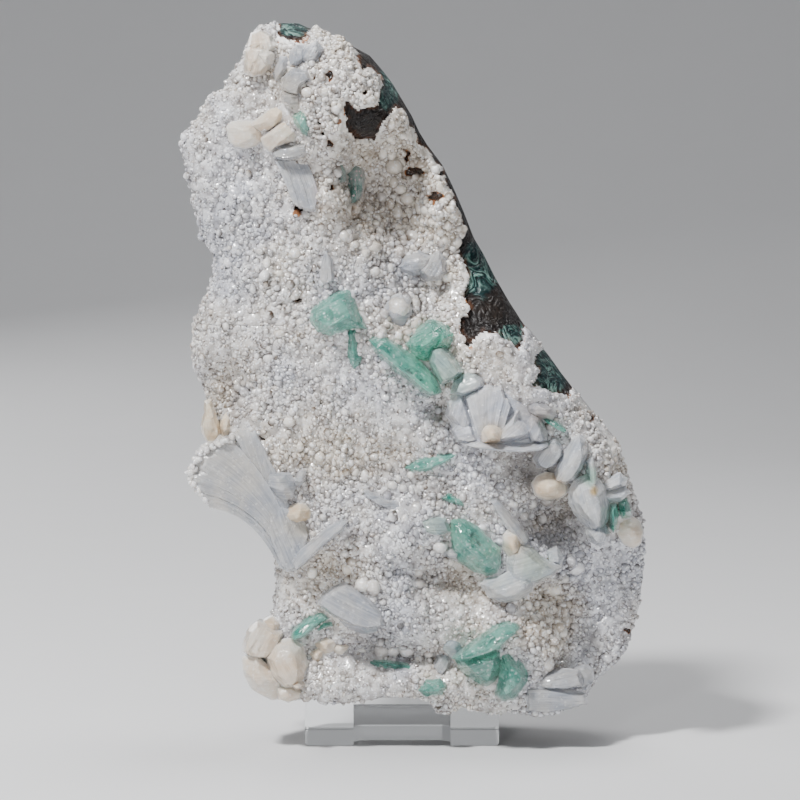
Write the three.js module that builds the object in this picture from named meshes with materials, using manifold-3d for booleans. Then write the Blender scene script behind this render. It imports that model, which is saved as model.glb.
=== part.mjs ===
// A cabinet specimen of green apophyllite with heulandite, on its clear acrylic stand.
// A slab of dark basalt carries a lumpy white crust, and the crystals stand in pockets of that crust.
// Millimetres, +Z up, +X to the right of the face with the crystals, which looks along -Y.
// The origin is the middle of the stand's underside.
import * as THREE from "three";
import { ConvexGeometry } from "three/addons/geometries/ConvexGeometry.js";
import { mergeVertices } from "three/addons/utils/BufferGeometryUtils.js";
import Module from "manifold-3d";

const wasm = await Module();
wasm.setup();

// Driving dimensions
const STAND = { width: 49, depth: 40, plate: 4, height: 12, riser: 12.25, corner: 1.2, recess: 8, lip: 1.2 };
const GAP = 0.3; // between one piece and the next
const FACE = 23; // how far the mean crust face stands in front of Y = 0
const CRUST = 3; // thickness of the crust
const CRUST_RIM = 2.2; // its thickness along the silhouette
const ROCK_INSET = 0.6; // rock stays this far inside a silhouette that the crust reaches
const BARE_STEP = 1.2; // bare rock lies this far behind the crust face around it
const ROCK_FOOT = STAND.height + GAP;
const BACK_BULGE = 23;
const FACE_CELLS = { across: 20, up: 32 };
const BED_CELLS = { across: 11, up: 18 };
const ROCK_CELLS = { round: 22, up: 18 };
const ROUGHNESS = { crust: 0.75, rock: 1.1 };
const BEFORE_ALL = -70; // Y in front of every piece, where a cut starts
const CRUST_BACK = 3; // Y that the crust's solid reaches before the rock is cut from it
const BED_REACH = { border: 30, behind: 60 }; // how far the bed runs past the face and behind it
const FLOOR_CUT = { side: 200, height: 40 }; // block under the rock's foot
const STAND_ROOM = 60; // depth and height of the room kept free over the stand

// Silhouette, as [x, z] from the foot up
const LEFT_EDGE = [
  [-27.5, 12.5], [-34.5, 18], [-34.5, 28], [-32.5, 34.2], [-32, 40.5], [-32.2, 48], [-34.5, 58], [-38.8, 68],
  [-44.5, 78], [-49, 86.8], [-51, 91.8], [-52.5, 95.5], [-53.2, 100], [-52.2, 106.8], [-50.2, 112.5],
  [-47.8, 117], [-47.2, 120.5], [-47.5, 124], [-50.5, 128.5], [-51, 132.5], [-52.5, 138], [-54, 143.5],
  [-54.8, 148.5], [-56, 151.2], [-55, 153.8], [-51.5, 158], [-50, 160.8], [-48.5, 163.5], [-45, 165.5],
  [-43.5, 168.5], [-40, 173], [-38.8, 176.2], [-36.8, 179.8], [-34.5, 181.2],
];
const RIGHT_EDGE = [
  [47.2, 10.5], [50, 16], [55.5, 20], [57.5, 23], [59, 26.8], [60, 31], [61, 35.5], [61.5, 40.5],
  [61.5, 54.2], [60.8, 58], [59.2, 62.2], [57.5, 66.8], [56.2, 71.8], [55, 76], [53, 78.5], [50.5, 81.2],
  [45.5, 87.5], [41.2, 93], [38, 97.5], [35, 101.2], [31.2, 106], [27.5, 111.8], [24.2, 117.5],
      [21.2, 123.5],
  [18.8, 127.5], [16.2, 134.2], [13.8, 139.8], [10.8, 146], [7, 151], [5, 154.2], [3, 158.5], [0, 163.5],
  [-2, 166.8], [-4.5, 170], [-7.5, 173.5], [-11.2, 175.5], [-13.8, 176.8], [-20.5, 179.5], [-25.5, 181.5],
];
const FOOT_EDGE = [
  [-27.5, 12.5], [-21, 12], [-17.5, 10.8], [-13.8, 11.2], [-7.5, 12], [-3.8, 12.8], [3, 12.8], [6.2, 12.2],
  [8, 10], [10, 8.5], [12.5, 8.2], [14.5, 10.2], [17.5, 9.2], [22.5, 8], [28.8, 8.8], [32.5, 8], [36.2, 7.8],
  [40, 8.5], [42.5, 9.8], [47.2, 10.5],
];
const TOP_EDGE = [[-34.5, 181.2], [-31.2, 182.5], [-28.8, 182.3], [-25.5, 181.5]];
const ROCK_TOP = 181.6;

// Y of the silhouette line, and how wide the rounding towards it is
const ROUNDING = {
  left: { y: -10, width: 7 },
  right: { y: -5, width: 9 },
  top: { y: -7, width: 9 },
  foot: { y: -24, width: 5 },
};

// Swellings and hollows of the face: [x, z, half width, half height, turn in degrees, rise, flatness]
const RELIEF = [
  [-13, 162, 19, 15, 15, 10, 2], // lobe under the top
  [-3, 142, 12, 14, 20, -14, 2], // vug under the lobe
  [5, 121, 12, 14, 20, -9, 1.5], // the vug's lower end
  [10, 140, 4.5, 10, 25, 8, 1], // the vug's outer rim
  [-17.5, 138, 4, 5, 0, 6, 1], // pitted knob beside the vug
  [-44, 91, 9, 8, 0, -7, 1.5], // notch over the large sheaf
  [-25, 102, 28, 36, 0, 4, 1.5], // broad plain
  [-5, 52, 20, 13, 10, 5, 1.5], // swelling below the plain
  [12, 41, 15, 4, -20, -6, 1], // furrow
  [9, 34, 22, 7, -8, 4, 1.5], // terrace under the furrow
  [38, 57, 8, 8, 0, -13, 1.5], // pocket beside the right sheaf
  [31, 71, 6, 4, 0, -8, 1], // crevice above the peach crystal
  [50, 36, 14, 19, 0, -12, 2], // bowl
  [31, 29, 9, 13, 15, 5, 1.5], // beige ridge beside the bowl
  [36, 38, 4, 4, 0, -6, 1], // pit in the ridge
  [40, 22, 3, 2.5, 0, -5, 1],
  [-1, 23, 14, 3, -8, -7, 1], // crevice over the foot lip
  [-5, 16, 30, 5, 0, 4, 1.5], // foot lip
  [25, 97, 13, 8, -35, 4, 1.5], // shoulder over the right sheaves
  [9, 86, 3, 5, 0, -4, 1],
  [-17, 46, 5, 3.5, 0, -4, 1],
];

// Where the crust has broken away from the rock, as [x, z] outlines
const BARE_ROCK = [
  [[-31, 183], [-31, 179], [-28, 176.8], [-24.5, 177.5], [-22.8, 180], [-24, 183]],
  [
    [-12, 176.5], [-10.6, 172.5], [-10, 170], [-7, 170.4], [-5.2, 167], [-5.4, 162], [-11, 160.6],
    [-13.8, 162.5], [-14.2, 157], [-12, 153.6], [-7, 153], [-5, 157], [-1.5, 160.4], [0.5, 160],
      [1.8, 156.8],
    [3.5, 153],
    [5, 150.8], [8, 150.5], [12, 153], [4, 172], [-6, 178],
  ],
  [
    [17, 131.5], [14.2, 128], [14.2, 125.5], [15.4, 121.8], [16.4, 118.5], [16, 113.5], [17, 111],
      [14.8, 107.5],
    [14.6, 104.6], [16.5, 101.6], [19.5, 104.4], [22.8, 105], [26.2, 103], [29, 100.4], [31, 105], [34, 106],
    [26, 122], [20, 130],
  ],
  [
    [34.8, 100.2], [32.8, 97.2], [34, 94.8], [32.8, 92.2], [36, 90.4], [40, 88.8], [41.8, 87.4], [43, 90],
    [46, 90], [40, 99],
  ],
];

// Crystals: each node is a list of [rise over the crust, depth below it, share of the front that is flat,
// lean along x, lean along z, outline as [x, z]], with the point it is seated on when that isn't its middle.
const CRYSTALS = {
  apophyllite_upper_left: [
    [6.5, 2, 0.72, 0.1, 0.25, [[-22.8, 110], [-21, 112.2], [-17.5, 115], [-12.5, 116.5], [-10.8, 113],
      [-8, 106.2],
      [-11.2, 106.2], [-16.2, 105], [-20.5, 105.8], [-22.5, 108]]],
  ],
  apophyllite_small_blade: [
    [3, 2, 0.5, 0, 0.05, [[-13.5, 105], [-11.5, 105.5], [-9.5, 104.5], [-8.8, 101], [-9.2, 97.5],
      [-10.5, 95.2],
      [-12.2, 97.5], [-13.5, 101.5]]],
  ],
  apophyllite_centre_blade: [
    [7.5, 2, 0.55, 0.05, 0.15, [[-8.5, 104], [-7, 105], [-3.5, 104.5], [1.2, 102.2], [5, 99.8], [8, 96.2],
      [10.2, 92], [10.8, 90.2], [9, 89.2], [4, 90.5], [-0.5, 94.2], [-5, 98], [-7.8, 101.8]]],
  ],
  apophyllite_upper_right: [
    [8, 2, 0.6, 0.1, 0.3, [[1.6, 103], [3, 105.2], [6, 107.5], [8.5, 108.2], [11.5, 107.5], [13.8, 105],
      [13.8, 103], [8.5, 101.2], [5.6, 101.2]]],
  ],
  heulandite_pale_wedge: [
    [9, 2, 0.6, 0.25, 0.1, [[9, 100], [10.4, 101], [13, 100.5], [15.8, 96.5], [14, 94.5], [11.6, 93.4],
      [10.6, 96]]],
  ],
  apophyllite_lower_centre: [
    [7.5, 2, 0.6, 0.05, -0.15, [[12.2, 57.8], [14, 58.8], [16.8, 58.2], [20, 56], [24, 52], [24.5, 49],
      [24, 46.5], [22.5, 45.4], [19.5, 45], [15.5, 46.8], [13.5, 50], [12.2, 53.8]]],
  ],
  apophyllite_foot_cluster: [
    [9, 2, 0.5, 0.15, 0.1, [[13.8, 24.2], [16.5, 27], [20.5, 30.2], [23.5, 32.5], [26.8, 33.8], [29.5, 33.5],
      [30.5, 31.8], [28, 28.5], [24.2, 24.2], [20, 21.8], [15.8, 21.8]]],
    [8, 2, 0.55, 0, -0.1, [[16.5, 23.5], [21.2, 26], [25.5, 26.8], [27, 24.2], [26.2, 19.2], [24.5, 15.5],
      [21, 15.5], [17, 17.5], [15.8, 21]]],
    [7, 2, 0.55, 0.2, -0.1, [[26.2, 25], [29, 24.5], [31.5, 22], [32.8, 19.2], [31, 15.8], [28.5, 14.2],
      [25, 14.5], [23, 15], [24.5, 20]]],
  ],
  apophyllite_thin_blade: [
    [3, 2, 0.5, 0, 0.3, [[0.5, 71.5], [4.5, 74], [9.5, 74.8], [14.8, 74.2], [12.5, 72.8], [8, 71.2],
      [4.5, 69.5],
      [1.8, 70]]],
  ],
  apophyllite_small_chip: [
    [2, 2, 0.5, 0, 0.2, [[10, 64.5], [12, 65.5], [14.8, 64], [17.2, 61.2], [15.8, 60.2], [12.5, 62]]],
  ],
  apophyllite_left_foot: [
    [4, 2, 0.5, 0.1, 0.2, [[-26.4, 28.9], [-25, 31.2], [-22, 33.8], [-19.8, 34.6], [-18, 33.6],
      [-19.5, 31.6],
      [-23, 29.6]]],
  ],
  apophyllite_right_edge: [
    [7, 2, 0.55, 0.1, 0, [[52.8, 62.2], [55, 62.2], [57, 62], [58, 60.2], [57.5, 59.6], [55, 59.4],
      [53.2, 60]]],
    [7.5, 2, 0.5, 0.2, 0, [[53, 61.5], [54, 61.6], [55, 58.5], [54.2, 55.8], [53.6, 55], [53, 57]]],
  ],
  apophyllite_shoulder_chip: [
    [5, 2, 0.5, 0, 0.2, [[36.2, 82.4], [37.2, 83.4], [39.5, 82.5], [41.2, 81.2], [40.5, 80.8],
      [38.2, 80.6]]],
  ],
  apophyllite_vug: [
    [7, 2, 0.5, 0.2, 0.1, [[-14, 145.5], [-12, 147.2], [-10, 146], [-9, 143], [-10, 138.5], [-11.5, 135.5],
      [-13, 135.2], [-13.4, 137], [-13.2, 141]]],
    [6, 2, 0.5, 0, 0, [[-15.8, 147.2], [-14.8, 148], [-13.5, 144.2], [-13.4, 141.6], [-15, 142.4]]],
  ],
  apophyllite_top_chip: [
    [3, 2, 0.5, 0, 0, [[-24.6, 159.5], [-23.6, 160], [-22, 158], [-21.8, 154], [-23.4, 154],
      [-24.4, 156.2]]],
  ],
  apophyllite_foot_sliver: [
    [3, 2, 0.5, 0, 0.2, [[-9.5, 22], [-4.5, 22.2], [1, 21], [3.2, 19.5], [-1.2, 18.8], [-7, 20.2]]],
  ],
  apophyllite_foot_wedge: [
    [4.5, 2, 0.5, 0, 0.1, [[4.5, 15.5], [6.5, 17.5], [9.5, 17.6], [10.2, 16], [9.8, 14.6], [7, 14.5]]],
  ],
  heulandite_foot_chip: [
    [5, 2, 0.5, 0.1, 0, [[7.5, 21], [9.2, 23.8], [11.5, 24.5], [12.6, 22], [12.4, 20.4], [10.5, 18.8],
      [8.2, 19]]],
  ],
  heulandite_large_sheaf: [
    [6, 4, 0.8, 0.12, 0.05, [[-49.2, 77.6], [-51.5, 74], [-53, 70.5], [-52.8, 68], [-50.8, 65.5], [-48, 63],
      [-44.5, 60.5], [-38.8, 58.2], [-34, 57], [-29.5, 60], [-31.2, 65.5], [-35.5, 74.2], [-42, 78.4]],
      [-29, 52]],
    [6.5, 6, 0.6, 0, 0.05, [[-37.5, 57.5], [-34.5, 53], [-31.2, 48], [-27.5, 45.5], [-24.5, 47.5],
      [-23.4, 53],
      [-26, 57], [-29.2, 64], [-34.5, 66]], [-29, 52]],
    [4.5, 4, 0.7, 0.1, 0.05, [[-42, 80], [-38.5, 82], [-35.8, 81], [-33.5, 76.8], [-32, 70.5], [-30.5, 64.2],
      [-34.5, 65.5], [-38.8, 73]], [-29, 60]],
    [5.5, 5, 0.6, 0, 0, [[-33, 70.5], [-29.2, 70], [-26.8, 68.5], [-26, 65], [-28, 63.4], [-31.2, 63]],
      [-27, 62]],
  ],
  heulandite_lower_blade: [
    [8, 2, 0.7, 0, 0, [[-22.4, 50.5], [-20, 54.8], [-15, 58.2], [-12, 58.8], [-12.5, 56.5], [-16.5, 52.2],
      [-21.6, 48.6]]],
  ],
  heulandite_notch_pair: [
    [4, 2, 0.6, 0.1, 0, [[-49.2, 86], [-47, 86.6], [-45, 83], [-44.4, 80.4], [-48.8, 79.4], [-50, 80.8],
      [-50, 83.5]], [-44, 84]],
    [4.5, 2, 0.6, 0, 0, [[-45.4, 83], [-43.4, 84.5], [-42, 83], [-43, 80.8], [-45, 80.4]], [-44, 84]],
  ],
  heulandite_cream_block: [
    [5, 2, 0.6, 0, 0, [[-28, 61.6], [-26.6, 62.6], [-24.2, 62.6], [-22.2, 61], [-22.8, 59], [-24.6, 58.4],
      [-26.4, 59]]],
  ],
  heulandite_right_sheaf: [
    [7, 2, 0.7, 0.15, 0.05, [[11.6, 82], [11.8, 87.5], [13.2, 91.2], [16.2, 92.6], [19, 90], [20.5, 81.8],
      [17.5, 78], [13.8, 79]]],
    [6, 2, 0.6, 0, 0.2, [[13.4, 92], [14.6, 94], [17.5, 95.2], [20.8, 94.2], [21.5, 91.5], [17.5, 89]]],
    [9, 2, 0.7, -0.1, 0.1, [[16.5, 89.2], [20, 91.8], [23.8, 92.8], [26.8, 89], [28.8, 85], [28, 79.2],
      [23.8, 77], [19.5, 80.5]]],
    [8, 2, 0.7, 0.1, 0, [[27, 84], [29.6, 85], [32.4, 83], [34.4, 80], [36.6, 77.8], [36.2, 76.4],
      [31.2, 75.8],
      [25, 76.8]]],
    [10, 2, 0.7, 0, 0, [[13, 78], [17.5, 78.8], [30, 77.5], [36.2, 77.6], [36, 76.2], [30, 75], [20, 76],
      [13.8, 76.5]]],
    [12, 2, 0.6, 0, 0, [[19.3, 80.2], [20.2, 82.3], [22.5, 83.1], [24.8, 82.3], [25.8, 80.2], [24.8, 78.1],
      [22.5, 77.3], [20.2, 78.1]]],
  ],
  heulandite_edge_sheaf: [
    [5, 2, 0.6, 0, 0, [[37, 74], [38, 76], [39.4, 77], [41.5, 75.5], [40, 72], [37.6, 71.2]]],
    [8, 2, 0.6, 0.1, 0, [[38, 69.5], [40, 73.8], [43, 76.8], [45.2, 77], [46.8, 74], [45.8, 70.5],
      [43, 67.2],
      [40, 66.2]]],
    [9, 2, 0.6, 0.1, -0.1, [[42, 66.5], [43.2, 69], [46, 68.8], [49.5, 65], [51.4, 60], [51.4, 55],
      [50.4, 53.2],
      [47.8, 52.8], [45.8, 54], [44.2, 58], [42.2, 62]], [47, 66]],
    [8, 2, 0.6, 0.2, 0, [[47.5, 67], [51.5, 68.8], [54.4, 67.8], [56.6, 65], [55.5, 63.8], [51.5, 63.8],
      [48.8, 64.2]]],
    [5, 2, 0.6, 0.1, 0.1, [[41.5, 78], [43, 79.6], [46.5, 79.6], [48.4, 78], [49, 76], [48, 72.5],
      [45, 74.2]]],
    [9, 2, 0.6, 0, 0, [[32.6, 66.8], [34, 69.5], [37.5, 70.4], [41.5, 69.5], [42.6, 66.8], [41, 64],
      [37.5, 63.2],
      [34, 64]], [42, 68]],
  ],
  heulandite_edge_ball: [
    [6, 2, 0.6, 0, 0, [[55.4, 54.5], [56.2, 57.4], [58, 58.6], [59.6, 57.6], [60.6, 54.5], [59.8, 51.4],
      [57.8, 50], [56, 51.4]]],
  ],
  heulandite_shoulder_block: [
    [5, 2, 0.6, 0, 0.1, [[31, 87], [32.8, 89], [35.8, 89.2], [38, 87.4], [38.2, 85.4], [35.4, 84.4],
      [32.4, 85.4]]],
  ],
  heulandite_lower_sheaf: [
    [7, 2, 0.6, 0, -0.1, [[19.6, 41.5], [20.8, 43.5], [25, 44.8], [28.8, 46.8], [33.8, 46.8], [35.2, 43],
      [33.2, 40], [29.5, 38.2], [26.8, 37.6], [23, 38.4]]],
    [8, 2, 0.6, 0.1, 0, [[28, 48], [31.2, 50], [36.2, 50.5], [39.4, 50], [41.2, 47.5], [39, 44.5],
      [35, 42.5],
      [30.5, 43.5]], [31, 46]],
    [7, 2, 0.6, 0.1, 0, [[29.2, 56.5], [31.5, 55.4], [35.2, 51.8], [36.5, 49.2], [32.5, 48], [30, 51]],
      [31, 48]],
    [9.5, 2, 0.6, 0, 0, [[25.4, 52.5], [26, 55.2], [28, 56.3], [30.2, 55.2], [31, 52.5], [30.2, 49.8],
      [28, 48.7], [26, 50]]],
    [5, 2, 0.6, 0, 0, [[23, 62.6], [25, 62.6], [28, 59.5], [30, 55.8], [28, 55.4], [25, 58.5]]],
  ],
  heulandite_foot_plate: [
    [6.5, 2, 0.7, 0, 0.15, [[-17.6, 36.5], [-18, 39], [-16.5, 42], [-13.8, 43], [-10, 40], [-6, 36.8],
      [-6.5, 33.5], [-12, 32.5], [-16.2, 34.2]]],
  ],
  heulandite_foot_cluster: [
    [5, 6, 0.6, 0, 0.1, [[-35.5, 31.8], [-33.8, 33], [-31.2, 32.5], [-30.2, 30], [-33, 28.5]], [-31, 27]],
    [6, 8, 0.6, 0.1, 0, [[-39.2, 26.8], [-37.5, 30], [-34, 30.5], [-30.5, 29], [-31, 26], [-34.5, 23],
      [-39, 22.5], [-40, 25]], [-30, 26]],
    [8, 7, 0.65, 0, 0.05, [[-34.5, 25.5], [-31, 27.5], [-28, 26.8], [-25.4, 24.4], [-24.6, 20.5],
      [-25, 16.8],
      [-27, 16], [-31, 16.4], [-33.5, 20]], [-27, 23]],
    [5, 8, 0.65, 0.05, -0.05, [[-39.8, 22.5], [-36, 23], [-32.5, 21], [-28.5, 16.4], [-29, 13.6],
      [-33, 13.4],
      [-36, 14.2], [-38, 16.8], [-39.5, 20]], [-29, 20]],
  ],
  heulandite_foot_pebbles: [
    [4, 2, 0.6, 0, 0, [[-21.8, 26.5], [-19, 28.2], [-16.5, 27.2], [-16.8, 24.5], [-20, 23.5]]],
    [3.5, 2, 0.6, 0, 0, [[-17.5, 26], [-15, 27], [-13.5, 25.5], [-15, 23.5], [-17.5, 23.8]]],
    [3, 2, 0.6, 0, 0, [[-22.8, 24.2], [-21.2, 25.5], [-19.5, 24.5], [-21, 21.6], [-22.6, 22.4]]],
  ],
  heulandite_top_block: [
    [6, 2, 0.65, 0.1, 0.05, [[-39, 170.5], [-38.2, 174.2], [-37, 176.2], [-32.5, 176], [-31.2, 173.5],
      [-31.8, 170.4], [-34.5, 168.6], [-37.5, 168.9]], [-33, 171]],
    [4, 2, 0.6, 0.1, 0.2, [[-37.5, 175.6], [-36.5, 178.4], [-33.5, 179.2], [-32, 177], [-32.4, 174.5],
      [-35.5, 174]], [-32, 175]],
  ],
  heulandite_top_column: [
    [4, 2, 0.6, 0, 0.1, [[-28, 175], [-26.5, 176.2], [-24, 176], [-23.5, 172.5], [-26, 171], [-28, 172.5]]],
    [4, 2, 0.6, 0, 0.1, [[-24.5, 175.2], [-22, 176.2], [-19.2, 175.4], [-18.8, 173], [-21, 171],
      [-24, 171.5]]],
    [5, 2, 0.6, 0, 0, [[-30.4, 171.4], [-28.8, 173], [-26, 171.5], [-24.5, 168], [-27.5, 166], [-30, 168]]],
    [5, 2, 0.6, 0, 0, [[-29.5, 167], [-26.5, 169], [-23.8, 167], [-23.5, 163.4], [-25.6, 162.8],
      [-29, 163.6]]],
  ],
  heulandite_upper_bar: [
    [6, 3, 0.65, 0.1, 0, [[-43.2, 155.5], [-41.8, 157.8], [-38.5, 158.2], [-35, 157.5], [-34, 153.5],
      [-36.5, 151.2], [-40, 151], [-42.5, 152.5]]],
    [6, 3, 0.6, 0, 0, [[-37.5, 157.8], [-33.5, 161], [-29.2, 162.2], [-27, 160.5], [-28, 157.5],
      [-32, 156.2],
      [-35.5, 156.5]], [-34, 155.5]],
    [7, 3, 0.65, 0, 0, [[-34.5, 154], [-32, 156.8], [-28, 157.6], [-25.8, 155.5], [-25.6, 153.2],
      [-28.5, 152.4],
      [-33, 152.4]], [-31, 154]],
  ],
  heulandite_upper_blade: [
    [6, 2, 0.7, 0, 0, [[-32, 150.2], [-29, 151.6], [-24, 151.8], [-22.2, 150.5], [-23.5, 148.5],
      [-28.8, 147.8],
      [-31.5, 148.2]]],
    [5.5, 2, 0.75, 0.1, -0.1, [[-31.5, 147.8], [-27.5, 148.8], [-23.5, 148.2], [-21.6, 145], [-20.6, 140],
      [-20.8, 136.6], [-22, 135.4], [-24.5, 137], [-28, 142]], [-26, 144]],
  ],
  heulandite_mid_splinter: [
    [3.5, 2, 0.6, 0, 0.1, [[-20, 122.5], [-18.8, 125.2], [-17.2, 123], [-17, 120], [-16.6, 118.2],
      [-19.8, 117.4],
      [-20.2, 118]]],
  ],
  heulandite_vug_cluster: [
    [6, 2, 0.6, 0, 0.1, [[-2.5, 121], [0.5, 124], [4.5, 125], [8, 123.5], [7.5, 120], [3, 118],
      [-0.5, 119]]],
    [6.5, 2, 0.6, 0.1, 0, [[3, 120], [6, 123.5], [9.5, 125.5], [11.6, 123], [12, 119.5], [10, 116.8],
      [5.5, 117]]],
  ],
  heulandite_vug_grapes: [
    [5, 2, 0.5, 0, 0, [[-3.7, 111], [-2.7, 113.4], [-0.5, 114.3], [1.8, 113.4], [2.7, 111], [1.8, 109],
      [-2.7, 109]]],
  ],
  heulandite_right_foot: [
    [5, 2, 0.6, 0, 0.1, [[34.8, 16], [36.2, 18.8], [40.5, 20], [44.5, 19.8], [45.8, 15.5], [41.2, 14.2],
      [36.2, 14.5]]],
    [5, 2, 0.6, 0.1, 0, [[43, 19], [46.2, 20.4], [48.4, 19], [48.4, 16.4], [46.5, 14.4], [44, 14.5]]],
    [5, 2, 0.7, 0, 0, [[33.6, 15], [36, 15.8], [40, 15.5], [46, 14], [46.4, 11.6], [42.5, 10.6], [36.2, 9.6],
      [33.8, 10.6]]],
  ],
};

const FINISH = {
  rock: { color: 0x2e2b29, roughness: 0.85, metalness: 0 },
  crust: { color: 0xe4e0da, roughness: 0.45, metalness: 0 },
  apophyllite: { color: 0x7fc4a6, roughness: 0.12, metalness: 0 },
  heulandite: { color: 0xe9e2d6, roughness: 0.25, metalness: 0 },
  acrylic: { color: 0xf2f6f8, roughness: 0.05, metalness: 0 },
};

const clamp01 = (t) => Math.min(1, Math.max(0, t));
const mix = (a, b, t) => a + (b - a) * t;
const radians = (degrees) => (degrees * Math.PI) / 180;

// The value of a line of [from, to] pairs at one place, held at its ends.
function along(pairs, at) {
  if (at <= pairs[0][0]) return pairs[0][1];
  for (let i = 1; i < pairs.length; i++) {
    const [a, b] = [pairs[i - 1], pairs[i]];
    if (at <= b[0]) return mix(a[1], b[1], (at - a[0]) / (b[0] - a[0]));
  }
  return pairs[pairs.length - 1][1];
}

const swap = (edge) => edge.map(([x, z]) => [z, x]);
const LEFT_BY_HEIGHT = swap(LEFT_EDGE);
const RIGHT_BY_HEIGHT = swap(RIGHT_EDGE);
const leftAt = (z) => along(LEFT_BY_HEIGHT, z);
const rightAt = (z) => along(RIGHT_BY_HEIGHT, z);

// A repeatable value from -1 to 1 for a pair of whole numbers.
function roughValue(i, j) {
  const s = Math.sin(i * 127.1 + j * 311.7) * 43758.5453;
  return 2 * (s - Math.floor(s)) - 1;
}

// How far the face stands in front of Y = 0 before its rim is rounded.
function swell(x, z) {
  let h = FACE;
  for (const [cx, cz, rx, rz, turn, rise, flatness] of RELIEF) {
    const [c, s] = [Math.cos(radians(turn)), Math.sin(radians(turn))];
    const [dx, dz] = [x - cx, z - cz];
    const [a, b] = [(dx * c + dz * s) / rx, (dz * c - dx * s) / rz];
    h += rise * Math.exp(-Math.pow(a * a + b * b, flatness));
  }
  return h;
}

// 1 at an edge and 0 past the width of its rounding, along a quarter of an ellipse.
const rounded = (distance, width) => {
  const t = clamp01(1 - distance / width);
  return 1 - Math.sqrt(1 - t * t);
};

// Y of the face at a point of the X-Z plane, with its rim rounded back to the silhouette.
function faceY(x, z) {
  const slope = 0.8; // a silhouette that leans is nearer than it is along X
  const { left, right, top, foot } = ROUNDING;
  let y = -swell(x, z);
  y = mix(y, foot.y, rounded(z - along(FOOT_EDGE, x), foot.width));
  y = mix(y, left.y, rounded(slope * (x - leftAt(z)), left.width));
  y = mix(y, right.y, rounded(slope * (rightAt(z) - x), right.width));
  return mix(y, top.y, rounded(TOP_EDGE[1][1] + 1 - z, top.width));
}

function geometryOf(points, triangles) {
  const g = new THREE.BufferGeometry();
  g.setAttribute("position", new THREE.Float32BufferAttribute(points.flat(), 3));
  g.setIndex(triangles.flat());
  return g;
}

function toSolid(geometry) {
  const g = geometry.clone();
  g.deleteAttribute("normal");
  g.deleteAttribute("uv");
  const merged = mergeVertices(g, 1e-4);
  return new wasm.Manifold(
    new wasm.Mesh({
      numProp: 3,
      vertProperties: new Float32Array(merged.attributes.position.array),
      triVerts: new Uint32Array(merged.index.array),
    }),
  );
}

function toGeometry(solid) {
  const m = solid.getMesh();
  const g = new THREE.BufferGeometry();
  const xyz = new Float32Array(m.numVert * 3);
  for (let i = 0; i < m.numVert; i++) {
    xyz.set(m.vertProperties.subarray(i * m.numProp, i * m.numProp + 3), i * 3);
  }
  g.setAttribute("position", new THREE.BufferAttribute(xyz, 3));
  g.setIndex(new THREE.BufferAttribute(new Uint32Array(m.triVerts), 1));
  return g;
}

const largest = (solid) => solid.decompose().sort((a, b) => b.volume() - a.volume())[0];

// A closed solid between a front and a back sheet, each a function of its column and row.
function sheetSolid(front, back, across, up) {
  const points = [];
  const triangles = [];
  for (const sheet of [front, back]) {
    for (let j = 0; j <= up; j++) for (let i = 0; i <= across; i++) points.push(sheet(i, j));
  }
  const n = (across + 1) * (up + 1);
  const id = (side, i, j) => side * n + j * (across + 1) + i;
  const quad = (a, b, c, d) => triangles.push([a, b, c], [a, c, d]);
  for (let j = 0; j < up; j++) {
    for (let i = 0; i < across; i++) {
      quad(id(0, i, j), id(0, i + 1, j), id(0, i + 1, j + 1), id(0, i, j + 1));
      quad(id(1, i, j), id(1, i, j + 1), id(1, i + 1, j + 1), id(1, i + 1, j));
    }
    quad(id(0, 0, j), id(0, 0, j + 1), id(1, 0, j + 1), id(1, 0, j));
    quad(id(0, across, j), id(1, across, j), id(1, across, j + 1), id(0, across, j + 1));
  }
  for (let i = 0; i < across; i++) {
    quad(id(0, i, 0), id(1, i, 0), id(1, i + 1, 0), id(0, i + 1, 0));
    quad(id(0, i, up), id(0, i + 1, up), id(1, i + 1, up), id(1, i, up));
  }
  return toSolid(geometryOf(points, triangles));
}

// A place on the face from its shares across and up, following the foot and top edges.
function facePlace(u, v) {
  const [l0, l1] = [LEFT_EDGE[0], LEFT_EDGE[LEFT_EDGE.length - 1]];
  const [r0, r1] = [RIGHT_EDGE[0], RIGHT_EDGE[RIGHT_EDGE.length - 1]];
  const [zl, zr] = [mix(l0[1], l1[1], v), mix(r0[1], r1[1], v)];
  const x = mix(leftAt(zl), rightAt(zr), u);
  const footX = mix(l0[0], r0[0], u);
  const topX = mix(l1[0], r1[0], u);
  const footLift = along(FOOT_EDGE, footX) - mix(l0[1], r0[1], u);
  const topLift = along(TOP_EDGE, topX) - mix(l1[1], r1[1], u);
  return [x, mix(zl, zr, u) + footLift * (1 - v) ** 6 + topLift * v ** 6];
}

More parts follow.
